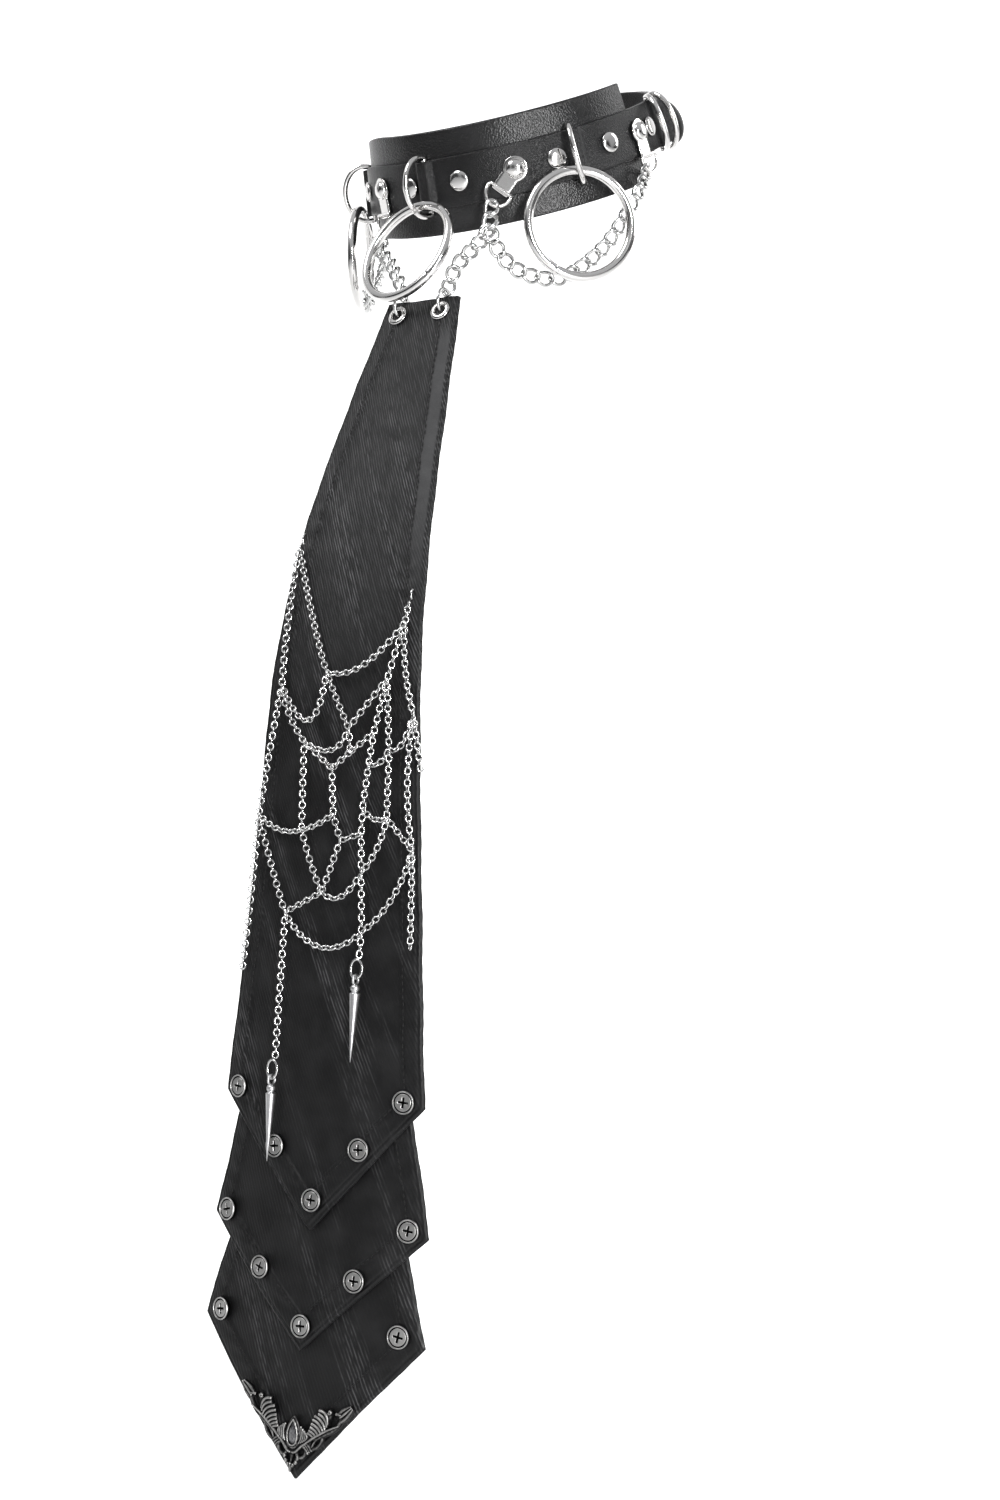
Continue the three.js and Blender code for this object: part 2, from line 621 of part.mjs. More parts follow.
// A layer is a wall that widens to its corners and then narrows to its point
function layerAcross(layer, share, drop) {
  const { top, topHalf, corner, cornerHalf, tip, cornerShift, tipShift } = layer;
  if (drop > corner) {
    const down = (drop - corner) / (tip - corner);
    return share * lerp(cornerHalf, TIE.tipHalf, down) + lerp(cornerShift, tipShift, down);
  }
  const down = (drop - top) / (corner - top);
  const half = topHalf ? lerp(topHalf, cornerHalf, down) : Math.min(tieValue('half', drop), cornerHalf);
  return share * half + cornerShift * down;
}

function addLayers() {
  LAYERS.forEach((layer, i) => {
    const rows = [...spread(layer.top, layer.corner, layer.rows + 1),
      ...spread(layer.corner, layer.tip, POINT_ROWS + 1).slice(1)];
    const columns = spread(-1, 1, TIE.columns + 1);
    const place = (drop, share, side) => {
      const face = -i * LAYER_STEP;
      return onTie(layerAcross(layer, share, drop), drop, side > 0 ? face : face - TIE.wall);
    };
    let geometry = wall(rows, columns, place);
    if (i === 0) geometry = cut(geometry, holes());
    addPiece(necktie, `tie_${layer.name}_layer`, geometry, LEATHER);
  });
}

// Cutters for the eyelets' holes and for the pair of holes that each web anchor passes
function holes() {
  const punch = (across, drop, radius, sides) => {
    const group = tieSeat(across, drop, 0);
    group.removeFromParent();
    group.updateMatrixWorld(true);
    const depth = TIE.wall * 2;
    return turned([[0, -depth], [radius, -depth], [radius, depth], [0, depth]], sides).applyMatrix4(group.matrixWorld);
  };
  const eyelets = [-1, 1].map((side) => punch(side * EYELET.across, EYELET.drop, EYELET.bore + EYELET.barrel + GAP, 10));
  const anchors = [KNOTS.leftAnchor, KNOTS.rightAnchor].flatMap(([across, drop]) =>
    [-1, 1].map((way) => punch(across, drop - ANCHOR.above + way * ANCHOR.radius, ANCHOR.hole, 8)));
  return [...eyelets, ...anchors];
}

function addEyelets() {
  const { across, drop, bore, radius, lip, barrel, sides } = EYELET;
  const front = GAP + 0.2;
  const rear = -TIE.wall - GAP - 0.2;
  const flange = radius - 0.5;
  const profile = [[bore, rear - 0.6], [flange, rear - 0.6], [flange, rear], [bore + barrel, rear],
    [bore + barrel, front], [radius, front], [radius - 0.9, front + lip], [bore + 0.3, front + lip * 0.8],
    [bore, rear - 0.6]];
  const tops = {};
  for (const [name, side] of [['left', 1], ['right', -1]]) {
    const group = tieSeat(side * across, drop, 0);
    addPiece(group, `eyelet_${name}`, turned(profile, sides), NICKEL);
    const ring = new THREE.TorusGeometry(JUMP_RING.radius, JUMP_RING.wire / 2, JUMP_RING.sides, JUMP_RING.steps);
    ring.rotateY(Math.PI / 2);
    ring.translate(0, TIE.wall / 2, JUMP_RING.radius);
    addPiece(group, `jump_ring_${name}`, ring, SILVER);
    group.updateWorldMatrix(true, false);
    tops[name] = group.localToWorld(new THREE.Vector3(0, TIE.wall / 2, 2 * JUMP_RING.radius));
  }
  return tops;
}

// Each side's curb chain is one run from the front tab to the back tab, with a branch to the tie
const SWAGS = {
  left: [
    { x: 25.4, y: -59.5, z: -49 },
    { x: 27.6, y: -57.5, z: -57.5 },
    { x: 32, y: -54, z: -64.5 },
    { x: 39, y: -46.5, z: -68.5 },
    { x: 46.7, y: -38.5, z: -68.5 },
    { x: 54.8, y: -30, z: -61.2 },
    { x: 61, y: -23.5, z: -52.5 },
    { x: 66, y: -18.4, z: -41.5 },
    { x: 69.4, y: -12, z: -30 },
  ],
  right: [
    { x: -36.5, y: -55.5, z: -50 },
    { x: -40, y: -54, z: -62 },
    { x: -45, y: -48, z: -70.5 },
    { x: -49, y: -39.5, z: -69.5 },
    { x: -50.5, y: -32, z: -60 },
    { x: -54, y: -23, z: -50 },
    { x: -60, y: -14, z: -44 },
    { x: -68, y: -3.2, z: -37.5 },
  ],
};
const BRANCHES = {
  left: [{ x: 25.4, y: -59.5, z: -49 }, { x: 21.5, y: -65, z: -58 }, { x: 15, y: -68.5, z: -65 }],
  right: [{ x: -32, y: -57.5, z: -50 }, { x: -24.7, y: -60, z: -56.6 }, { x: -18, y: -64.5, z: -64 }],
};

function addCurbChains(grips, ringTops) {
  const vector = ({ x, y, z }) => new THREE.Vector3(x, y, z);
  for (const side of ['left', 'right']) {
    const start = grips[`front_${side}`];
    const swag = linkChain(start, SWAGS[side].map(vector), grips[`back_${side}`]);
    const branch = linkChain(start, BRANCHES[side].map(vector), ringTops[side], 0);
    const shared = side === 'left' ? 1 : 0;
    addPiece(necktie, `curb_chain_${side}`, fuse([...swag, ...branch.slice(shared)]), SILVER);
  }
}

// Both ways along every strand of the web, as points across and up
function webRuns() {
  return STRANDS.flatMap(({ from, to, steps, sag = 0, bulge = 0 }) => {
    const [start, end] = [from, to].map((name) => KNOTS[name]);
    const points = spread(0, 1, steps + 1).map((t) => {
      const belly = 4 * t * (1 - t);
      return new THREE.Vector2(lerp(start[0], end[0], t) + bulge * belly, -lerp(start[1], end[1], t) - sag * belly);
    });
    return [{ from, to, points }, { from: to, to: from, points: [...points].reverse() }];
  });
}

// The loops of points round the web's cells and round its outside, each with its open side on the left
function webLoops() {
  const runs = webRuns();
  const heading = (from, to) => to.clone().sub(from).angle();
  const next = (run) => {
    const back = heading(run.points.at(-1), run.points.at(-2));
    const turn = (other) => THREE.MathUtils.euclideanModulo(
      back - heading(other.points[0], other.points[1]) - 1e-9, 2 * Math.PI);
    return runs.filter((other) => other.from === run.to).sort((one, two) => turn(one) - turn(two))[0];
  };
  const unused = new Set(runs);
  const loops = [];
  while (unused.size > 0) {
    const loop = [];
    let [run] = unused;
    while (unused.delete(run)) {
      loop.push(...run.points.slice(1));
      run = next(run);
    }
    loops.push(loop);
  }
  const outside = loops.find((loop) => THREE.ShapeUtils.isClockWise(loop));
  return [outside, ...loops.filter((loop) => loop !== outside)];
}

// A loop moved to its left by half a strand. A sharp turn round the metal is cut square.
function moved(loop, half) {
  return loop.flatMap((point, i) => {
    const before = point.clone().sub(loop.at(i - 1)).normalize();
    const after = loop[(i + 1) % loop.length].clone().sub(point).normalize();
    const sides = [before, after].map((way) => new THREE.Vector2(-way.y, way.x));
    if (before.dot(after) < -0.2 && before.cross(after) < 1e-6) {
      return sides.map((side) => point.clone().addScaledVector(side, half));
    }
    const corner = sides[0].clone().add(sides[1]);
    return [point.clone().addScaledVector(corner, (2 * half) / corner.lengthSq())];
  });
}

// The web is a net of solid metal just above the front layer
function addWeb() {
  const loops = webLoops();
  const layers = WEB_SECTION.map(({ half, height }) => ({ height, outlines: loops.map((loop) => moved(loop, half)) }));
  const positions = layers.flatMap(({ height, outlines }) =>
    outlines.flat().flatMap((point) => onTie(point.x, -point.y, height).toArray()));
  const count = layers[0].outlines.flat().length;
  const index = [];
  const fill = ({ outlines: [outer, ...inner] }) => THREE.ShapeUtils.triangulateShape(outer, inner);
  const rear = (layers.length - 1) * count;
  for (const [a, b, c] of fill(layers[0])) index.push(a, b, c);
  for (const [a, b, c] of fill(layers.at(-1))) index.push(rear + a, rear + c, rear + b);
  for (let start = 0; start < rear; start += count) {
    let first = start;
    for (const { length } of layers[0].outlines) {
      for (let i = 0; i < length; i++) {
        const a = first + i;
        const b = first + ((i + 1) % length);
        index.push(a, b, b + count, a, b + count, a + count);
      }
      first += length;
    }
  }
  const geometry = new THREE.BufferGeometry();
  geometry.setAttribute('position', new THREE.Float32BufferAttribute(positions, 3));
  geometry.setIndex(index);
  geometry.computeVertexNormals();
  addPiece(necktie, 'chain_web', geometry, SILVER);
}

function addAnchors() {
  for (const side of ['left', 'right']) {
    const [across, drop] = KNOTS[`${side}Anchor`];
    const group = tieSeat(across, drop - ANCHOR.above, -TIE.wall / 2);
    const ring = new THREE.TorusGeometry(ANCHOR.radius, ANCHOR.wire / 2, ANCHOR.sides, ANCHOR.steps);
    ring.rotateY(Math.PI / 2);
    addPiece(group, `web_anchor_${side}`, ring, SILVER);
  }
}

// A spike hangs by its loop from an oval jump ring at the end of a strand
function addSpikes() {
  const { length, radius, loop, loopWire, sides } = SPIKE;
  const { halfLength, halfWidth, wire } = SPIKE_RING;
  for (const side of ['left', 'right']) {
    const [across, drop] = KNOTS[`${side}Spike`];
    const ringDrop = drop + GAP + wire / 2 + halfLength;
    const group = tieSeat(across, ringDrop, SPIKE.lift);
    const oval = Array.from({ length: 12 }, (_, i) => {
      const angle = (i * Math.PI) / 6;
      return new THREE.Vector2(halfWidth * Math.cos(angle), halfLength * Math.sin(angle));
    });
    addPiece(group, `spike_ring_${side}`, wireLoop(oval, wire, 6).rotateX(Math.PI / 2), SILVER);
    const hung = new THREE.Group();
    hung.position.z = -halfLength + (loopWire + wire) / 2 + GAP + 0.1 - loop;
    group.add(hung);
    const eye = new THREE.TorusGeometry(loop, loopWire / 2, 5, 10);
    eye.rotateY(Math.PI / 2);
    const cone = turned([[0, 0], [0.15, 0.05], [radius, length * 0.86], [radius, length - 0.8], [radius * 0.5, length],
      [0, length]], sides);
    cone.rotateX(-Math.PI / 2);
    cone.translate(0, 0, -loop - length + 0.3);
    addPiece(hung, `spike_${side}`, fuse([eye, cone]), STEEL);
  }
}

function addButtons() {
  const { radius, height, rim, well, sides } = BUTTON;
  const profile = [[0, 0], [radius, 0], [radius, height], [radius - rim, height], [radius - rim - 0.2, well], [0, well]];
  BUTTONS.forEach(({ layer, across, drop }, i) => {
    const group = tieSeat(across, drop, GAP + 0.1 - layer * LAYER_STEP);
    addPiece(group, `button_${i + 1}`, turned(profile, sides), ANTIQUE);
  });
}

// A flat leaf between two points: width at its middle and a bend to its left
function leaf([x0, y0], [x1, y1], width, bend = 0) {
  const shape = new THREE.Shape();
  const length = Math.hypot(x1 - x0, y1 - y0);
  const [nx, ny] = [-(y1 - y0) / length, (x1 - x0) / length];
  const middle = [(x0 + x1) / 2, (y0 + y1) / 2];
  const left = bend + width;
  const right = bend - width;
  shape.moveTo(x0, y0);
  shape.quadraticCurveTo(middle[0] + nx * right, middle[1] + ny * right, x1, y1);
  shape.quadraticCurveTo(middle[0] + nx * left, middle[1] + ny * left, x0, y0);
  return shape;
}

// A ring of metal round an oval hole, as an outline with a hole in it
function frame(x, y, halfWidth, halfHeight, band, turn = 0) {
  const shape = new THREE.Shape();
  shape.absellipse(x, y, halfWidth, halfHeight, 0, 2 * Math.PI, false, turn);
  const hole = new THREE.Path();
  hole.absellipse(x, y, halfWidth - band, halfHeight - band, 0, 2 * Math.PI, true, turn);
  shape.holes.push(hole);
  return shape;
}

// The outline of a teardrop, pointed at the top
function teardrop(half, bottom, top) {
  const shape = new THREE.Shape();
  shape.moveTo(0, top);
  shape.quadraticCurveTo(-half * 1.15, top * 0.35, -half, bottom * 0.35);
  shape.absellipse(0, bottom * 0.35, half, Math.abs(bottom) * 0.65, Math.PI, 2 * Math.PI, false);
  shape.quadraticCurveTo(half * 1.15, top * 0.35, 0, top);
  return shape;
}

// The corner piece is scrolls and leaves along both edges of the point, pierced between them.
// Each place on an arm is how far it is along the edge from the tip, and how far inside the edge.
function addCorner() {
  const group = tieSeat(CORNER.across, CORNER.tipDrop, GAP + 0.1 - 2 * LAYER_STEP);
  group.rotateY(THREE.MathUtils.degToRad(CORNER.turn));
  const { thick, raised } = CORNER;
  const arm = (along, inside) => [(along - inside) * Math.SQRT1_2, (along + inside) * Math.SQRT1_2];
  const half = [
    plate(leaf(arm(18.5, 3), arm(33, 2.4), 1.1, 1.3), thick, 3),
    plate(leaf(arm(30.5, 1.2), arm(37.5, 2.8), 2, 0), raised, 2),
    plate(leaf(arm(16.5, 4), arm(28, 8), 2.2, -1.6), raised, 3),
    plate(leaf(arm(16, 4), arm(23.5, 10.4), 1.9, -1.2), thick, 2),
    plate(leaf(arm(14, 4.4), arm(18.8, 9.6), 1.5, -0.8), raised, 2),
    plate(leaf(arm(9.5, 5.6), arm(20, 4), 1.7, 0), thick, 2),
    plate(leaf(arm(7, 1.8), arm(1.4, 0.8), 0.9, 0.5), thick, 2),
    plate(frame(...arm(16.6, 2.4), 3, 1.7, 0.9, Math.PI / 4), raised, 3),
    plate(frame(...arm(8.4, 2.6), 3, 2.1, 1, Math.PI / 4), thick, 3),
    plate(frame(...arm(26.6, 5.4), 1.9, 1.7, 0.8), thick, 3),
    plate(leaf(arm(13.6, 5.2), arm(21, 12.4), 1.6, 0), raised, 3),
  ];
  const mirrored = half.map((geometry) => {
    const copy = geometry.clone();
    copy.scale(-1, 1, 1);
    const position = copy.attributes.position;
    for (let i = 0; i < position.count; i += 3) {
      const second = new THREE.Vector3().fromBufferAttribute(position, i + 1);
      const third = new THREE.Vector3().fromBufferAttribute(position, i + 2);
      position.setXYZ(i + 1, third.x, third.y, third.z);
      position.setXYZ(i + 2, second.x, second.y, second.z);
    }
    return copy;
  });
  const stoneAt = CORNER.tipDrop - CORNER.stoneDrop;
  const setting = teardrop(4.3, -6.9, 8.4);
  setting.holes.push(teardrop(3.4, -5.9, 7.2));
  const rim = plate(setting, raised + 0.3, 3);
  const floor = plate(teardrop(3.8, -6.4, 7.8), CORNER.floor, 3);
  for (const geometry of [rim, floor]) geometry.translate(0, 0, stoneAt);
  const bud = plate(leaf([0, -0.6], [0, 5], 1.7, 0), raised, 3);
  addPiece(group, 'corner_piece', fuse([...half, ...mirrored, rim, floor, bud]), ANTIQUE);
  addStone(group, stoneAt);
}

// The stone is a low cushion on the setting's floor
function addStone(group, stoneAt) {
  const base = plate(teardrop(2.9, -5.3, 6.4), 1, 3);
  const crown = plate(teardrop(2, -4, 4.8), 1.7, 3);
  const body = fuse([base, crown]);
  body.translate(0, -CORNER.floor - GAP - 0.05, stoneAt);
  addPiece(group, 'corner_stone', body, STONE);
}

addBand();
addStrap();
addTail();
for (const ring of RINGS) {
  addORing(ring, addDRing(`d_ring_${ring.name}`, ring));
  addRivet(`ring_rivet_${ring.name}`, ring.rivet);
}
for (const ring of CLOSURE_RINGS) addDRing(`closure_d_${ring.name}`, ring);
for (const rivet of PLAIN_RIVETS) addRivet(`rivet_${rivet.name}`, rivet.at);
const grips = Object.fromEntries(TABS.map((tab) => [tab.name, addTab(tab)]));
addLayers();
addCurbChains(grips, addEyelets());
addWeb();
addAnchors();
addSpikes();
addButtons();
addCorner();

export default necktie;
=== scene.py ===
# %% [markdown]
# A chain necktie
#
# A stiff leather collar carries rings, curb chains and a leather tie in three layers, and the tie wears a
# cobweb of fine chain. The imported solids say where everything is. This lesson dresses them: it replaces the
# faceted pieces with smooth ones, and gives each a material with the grain, ribs or tarnish of the real
# thing.

import bmesh
import bpy
import numpy as np
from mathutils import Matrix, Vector


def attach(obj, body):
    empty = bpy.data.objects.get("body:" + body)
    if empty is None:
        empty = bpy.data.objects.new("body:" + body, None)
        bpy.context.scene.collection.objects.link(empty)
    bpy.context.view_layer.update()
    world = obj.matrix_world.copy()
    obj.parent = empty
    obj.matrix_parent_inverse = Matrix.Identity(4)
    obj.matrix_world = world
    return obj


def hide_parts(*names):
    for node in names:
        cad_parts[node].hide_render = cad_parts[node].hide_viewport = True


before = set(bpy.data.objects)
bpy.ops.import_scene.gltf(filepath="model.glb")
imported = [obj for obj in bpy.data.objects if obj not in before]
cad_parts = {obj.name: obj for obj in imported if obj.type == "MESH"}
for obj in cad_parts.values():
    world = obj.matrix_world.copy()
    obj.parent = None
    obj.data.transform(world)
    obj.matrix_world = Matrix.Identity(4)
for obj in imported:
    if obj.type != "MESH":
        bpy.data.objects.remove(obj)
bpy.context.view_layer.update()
MM = 0.001

# %% [markdown]
# The camera
#
# The photograph was taken from in front and about 32 degrees round to the necktie's own left, which is +X,
# level with the middle of the tie. A long lens keeps the collar and the tip at nearly the same scale, so the
# camera stands about a metre away.

# %% Camera
CAMERA_AZIMUTH = np.radians(32.0)
CAMERA_PLACE = (0.5076, -0.8231, -0.2634)
CAMERA_LENS = 52.8
SENSOR_HEIGHT = 36.0


def linked(name, data):
    """An object that holds the data, put in the scene."""
    made = bpy.data.objects.new(name, data)
    bpy.context.scene.collection.objects.link(made)
    return made


camera_data = bpy.data.cameras.new("camera")
camera_data.sensor_fit = "VERTICAL"
camera_data.sensor_height = SENSOR_HEIGHT
camera_data.lens = CAMERA_LENS
camera_data.clip_end = 20.0
camera = linked("camera", camera_data)
camera.location = CAMERA_PLACE
camera.rotation_euler = (np.pi / 2, 0.0, CAMERA_AZIMUTH)
bpy.context.scene.camera = camera
print("camera:", round(float(np.hypot(*CAMERA_PLACE[:2])), 3), "m from the collar's axis")

# %% [markdown]
# Shader maths as Python
#
# A procedural material is a chain of maths nodes. Written as node calls it is long and hard to read, so a
# small class wraps a socket: an expression such as `0.5 + 0.2 * noise` then adds the nodes by itself.

# %% Sockets as values
class Socket:
    """A number socket. Each operator adds one Math node with this socket as its first or second value."""

    def __init__(self, material, socket):
        self.material = material
        self.socket = socket

    def math(self, operation, *others):
        return self.material.node("ShaderNodeMath", {"operation": operation}, [self, *others])

    def __add__(self, other):
        return self.math("ADD", other)

    def __sub__(self, other):
        return self.math("SUBTRACT", other)

    def __rsub__(self, other):
        return self.material.node("ShaderNodeMath", {"operation": "SUBTRACT"}, [other, self])

    def __mul__(self, other):
        return self.math("MULTIPLY", other)

    def __truediv__(self, other):
        return self.math("DIVIDE", other)

    def __pow__(self, other):
        return self.math("POWER", other)

    __radd__ = __add__
    __rmul__ = __mul__

    def sine(self):
        return self.math("SINE")

    def clamped(self):
        return self.material.node("ShaderNodeMath", {"operation": "ADD", "use_clamp": True}, [self, 0.0])

    def between(self, low, high):
        """A smooth step from 0 at low to 1 at high."""
        settings = {"interpolation_type": "SMOOTHSTEP"}
        inputs = {"Value": self, "From Min": low, "From Max": high}
        return self.material.node("ShaderNodeMapRange", settings, inputs)


class Material:
    """A node material. node() makes any node: its settings first, then the values or links of its inputs."""

    def __init__(self, name, **values):
        self.data = bpy.data.materials.new(name)
        self.data.use_nodes = True
        self.tree = self.data.node_tree
        self.shader = self.tree.nodes["Principled BSDF"]
        for key, value in values.items():
            self.shader.inputs[key.replace("_", " ")].default_value = value

    def node(self, kind, settings=None, inputs=(), output=0):
        made = self.tree.nodes.new(kind)
        for key, value in (settings or {}).items():
            setattr(made, key, value)
        pairs = inputs.items() if isinstance(inputs, dict) else enumerate(inputs)
        for key, value in pairs:
            self.feed(made.inputs[key], value)
        return Socket(self, made.outputs[output])

    def feed(self, socket, value):
        if isinstance(value, Socket):
            self.tree.links.new(value.socket, socket)
        else:
            socket.default_value = value

    def set(self, name, value):
        self.feed(self.shader.inputs[name], value)

    def place(self, source="Object", scale=(1, 1, 1)):
        """Coordinates on the piece, stretched."""
        raw = self.node("ShaderNodeTexCoord", output=source)
        return self.node("ShaderNodeMapping", inputs={"Vector": raw, "Scale": scale})

    def axes(self, vector):
        """The three numbers of a vector."""
        split = self.node("ShaderNodeSeparateXYZ", inputs=[vector])
        return [Socket(self, out) for out in split.socket.node.outputs]

    def noise(self, vector, scale, detail=2.0, roughness=0.5):
        inputs = {"Vector": vector, "Scale": scale, "Detail": detail, "Roughness": roughness}
        return self.node("ShaderNodeTexNoise", inputs=inputs)

    def stretched_noise(self, across, down, detail, roughness=0.5):
        """Noise over two numbers, each stretched by its own amount."""
        place = self.node("ShaderNodeCombineXYZ", inputs=[across, down, 0.0])
        return self.noise(place, 1.0, detail, roughness)

    def relief(self):
        """The number from 0 to 1 that is painted into the mesh at each point."""
        return self.node("ShaderNodeAttribute", {"attribute_name": "relief"}, output=2)

    def cells(self, vector, scale):
        """Distance from the middle of the nearest of many random cells."""
        return self.node("ShaderNodeTexVoronoi", inputs={"Vector": vector, "Scale": scale})

    def mix(self, factor, first, second):
        """A colour between two, by a factor from 0 to 1."""
        first, second = [c if isinstance(c, Socket) else (*c, 1.0) for c in (first, second)]
        return self.node("ShaderNodeMix", {"data_type": "RGBA"}, {0: factor, 6: first, 7: second}, output=2)

    def bump(self, height, distance, strength=1.0):
        """Small relief: height from 0 to 1 stands for a distance in metres."""
        inputs = {"Height": height, "Distance": distance, "Strength": strength}
        self.set("Normal", self.node("ShaderNodeBump", inputs=inputs))


# %% [markdown]
# Leather
#
# The tie is coated leather with a fine moire: narrow ribs that lean, waver and catch the light in streaks.
# Its own UV map runs across and down each layer in decimetres, so the ribs follow the leather and not the
# room. The streaks are a painted highlight on the rib crests: near the top every rib gets a little of it,
# and lower down only bands of them do. The strip along the right edge has no ribs: a number painted into
# the mesh says where it is, and near the top its lighter grey is a painted sheen. The collar is the same
# black but smooth, with a fine pebble that glitters where light grazes it.

# %% Leather materials
RIB_SPACING = 0.0102
RIB_LEAN = 0.55
RIB_BEND = 0.018
RIB_SPREAD = 0.12
BLACK = (0.0028, 0.0028, 0.003)
DULL = (0.0055, 0.0055, 0.0058)
PEBBLED = (0.012, 0.012, 0.0125)
# Painted highlight: the lighter colour of rib crests where they catch the light.
PAINTED_RIB_GLINT = (0.06, 0.06, 0.062)
# Painted sheen: the lighter grey of the plain strip, which fades out down the tie.
FACING_SHEEN = (0.034, 0.034, 0.035)


def ribbed_leather():
    """Ribs are a sine of the place across, sheared and spread more and more on the way down. One stretched
    noise gathers their painted highlight in bands, a finer one breaks it into dashes, and near the top
    every rib gets some of it. That highlight is painted into the base colour."""
    made = Material("ribbed leather", Specular_IOR_Level=0.2, IOR=1.5)
    plane = made.place("UV")
    across, down, _ = made.axes(plane)
    slow = made.noise(plane, 3.0, 2.0)
    slanted = (across - down * RIB_LEAN - down * down * RIB_BEND + slow * 0.012) / (1.0 + down * RIB_SPREAD)
    dashes = made.stretched_noise(slanted * 100.0, down * 15.0, 3.0, 0.6)
    bands = made.stretched_noise(slanted * 11.0, down * 0.9, 2.0)
    lit = bands.between(0.48, 0.72)
    facing = made.relief()
    lit_near_top = 1.0 - down.between(1.6, 2.9)
    rib = ((slanted + dashes * 0.0008) * (2 * np.pi / RIB_SPACING)).sine() * 0.5 + 0.5
    # Painted highlight: shine lifts the rib crests towards the glint colour, every rib near the top and only
    # lit bands lower down.
    shine = rib ** 3.0 * (lit_near_top * 0.42 + lit * 0.9) * dashes.between(0.38, 0.6) * (1.0 - facing)
    grain = made.noise(plane, 170.0, 3.0, 0.6)
    worn = made.noise(plane, 7.0, 4.0, 0.6).between(0.35, 0.75)
    # The base colour carries the painted rib highlight over the black and dull patches.
    skin = made.mix(shine.clamped(), made.mix(worn, BLACK, DULL), PAINTED_RIB_GLINT)
    # The plain strip's lighter grey is a painted sheen, speckled by the grain.
    made.set("Base Color", made.mix(facing * (0.55 + 0.45 * grain), skin, FACING_SHEEN))
    made.set("Roughness", (0.40 + 0.16 * worn - 0.2 * shine + 0.12 * facing + 0.06 * grain).clamped())
    ribs = rib * (1.0 - facing) * (0.25 + lit_near_top * 0.45 + lit * 0.3)
    made.bump(ribs + dashes * 0.3 + 0.5 * grain, 0.00024, 0.8)
    return made.data


def smooth_leather(name, pebble, gloss):
    """A pebble of small cells over soft noise, rough on its tops, glossier in patches."""
    made = Material(name, Specular_IOR_Level=gloss, IOR=1.5)
    space = made.place()
    cell = made.cells(space, pebble)
    grain = made.noise(space, 900.0, 3.0, 0.6)
    patch = made.noise(space, 38.0, 3.0)
    made.set("Base Color", made.mix(patch.between(0.35, 0.75), BLACK, PEBBLED))
    made.set("Roughness", 0.20 + 0.16 * patch + 0.10 * grain)
    made.bump(0.6 * cell + 0.5 * grain, 0.0003, 0.9)
    return made.data


RIBBED = ribbed_leather()
SMOOTH = smooth_leather("smooth leather", 1300.0, 0.34)
STRAP_LEATHER = smooth_leather("strap leather", 2100.0, 0.22)
for leather in [RIBBED, SMOOTH, STRAP_LEATHER]:
    print(leather.name, "nodes:", len(leather.node_tree.nodes))

# %% [markdown]
# Metals and stone
#
# Bright nickel is a mirror with faint hairlines, so its look is mostly what it reflects. The antique pieces
# were blackened and then rubbed: their hollows stay dark, which a height painted into the mesh tells the
# material.

# %% Metal materials
def bright_metal(name, colour, roughness, hairline):
    """A mirror whose roughness wavers with fine noise."""
    made = Material(name, Metallic=1.0)
    space = made.place()
    fine = made.noise(space, hairline, 3.0)
    soft = made.noise(space, 60.0, 2.0)
    made.set("Base Color", made.mix(soft, colour, tuple(0.93 * part for part in colour)))
    made.set("Roughness", roughness * (0.7 + 0.6 * fine))
    made.bump(fine, 0.00001, 0.4)
    return made.data


def antique_metal(name, hollow, crest):
    """Colour and gloss follow the relief attribute, from 0 in the hollows to 1 on the crests, with specks."""
    made = Material(name, Metallic=1.0)
    relief = made.relief()
    speck = made.noise(made.place(), 700.0, 3.0)
    rubbed = (relief * 1.1 + speck * 0.5 - 0.3).between(0.15, 0.75)
    made.set("Base Color", made.mix(rubbed, hollow, crest))
    made.set("Roughness", 0.55 - 0.2 * rubbed)
    made.bump(speck, 0.00004, 0.6)
    return made.data


def brushed_steel():
    """Fine lines round the spikes from noise squeezed along their length."""
    made = Material("satin steel", Metallic=1.0)
    lines = made.noise(made.place(scale=(60, 60, 4000)), 1.0, 2.0)
    made.set("Base Color", made.mix(lines, (0.36, 0.36, 0.37), (0.56, 0.56, 0.56)))
    made.set("Roughness", 0.28 + 0.14 * lines)
    made.bump(lines, 0.00002, 0.5)
    return made.data


def dark_stone():
    """Polished grey stone with lighter clouds and pale specks."""
    made = Material("dark stone", Roughness=0.12, IOR=1.6)
    space = made.place()
    cloud = made.noise(space, 260.0, 4.0, 0.65)
    speck = made.cells(space, 900.0).between(0.35, 0.1)
    made.set("Base Color", made.mix(cloud.between(0.35, 0.75), (0.018, 0.018, 0.02), (0.16, 0.16, 0.165)))
    made.set("Roughness", 0.1 + 0.15 * speck)
    return made.data


NICKEL = bright_metal("bright nickel", (0.66, 0.65, 0.64), 0.12, 500.0)
SILVER = bright_metal("bright silver chain", (0.55, 0.55, 0.545), 0.17, 900.0)
ANTIQUE = antique_metal("antique silver", (0.012, 0.012, 0.0125), (0.33, 0.325, 0.318))
GUNMETAL = antique_metal("antique nickel", (0.004, 0.004, 0.004), (0.36, 0.356, 0.35))
STEEL = brushed_steel()
STONE = dark_stone()
for finish in [NICKEL, SILVER, ANTIQUE, GUNMETAL, STEEL, STONE]:
    print(finish.name, "nodes:", len(finish.node_tree.nodes))

# %% [markdown]
# From arrays to meshes
#
# Every new piece is a grid of points worked out in one go, closed into a solid, merged at its seams and
# poles, and turned the right way out. One helper does this for all of them, and a piece may be several grids.

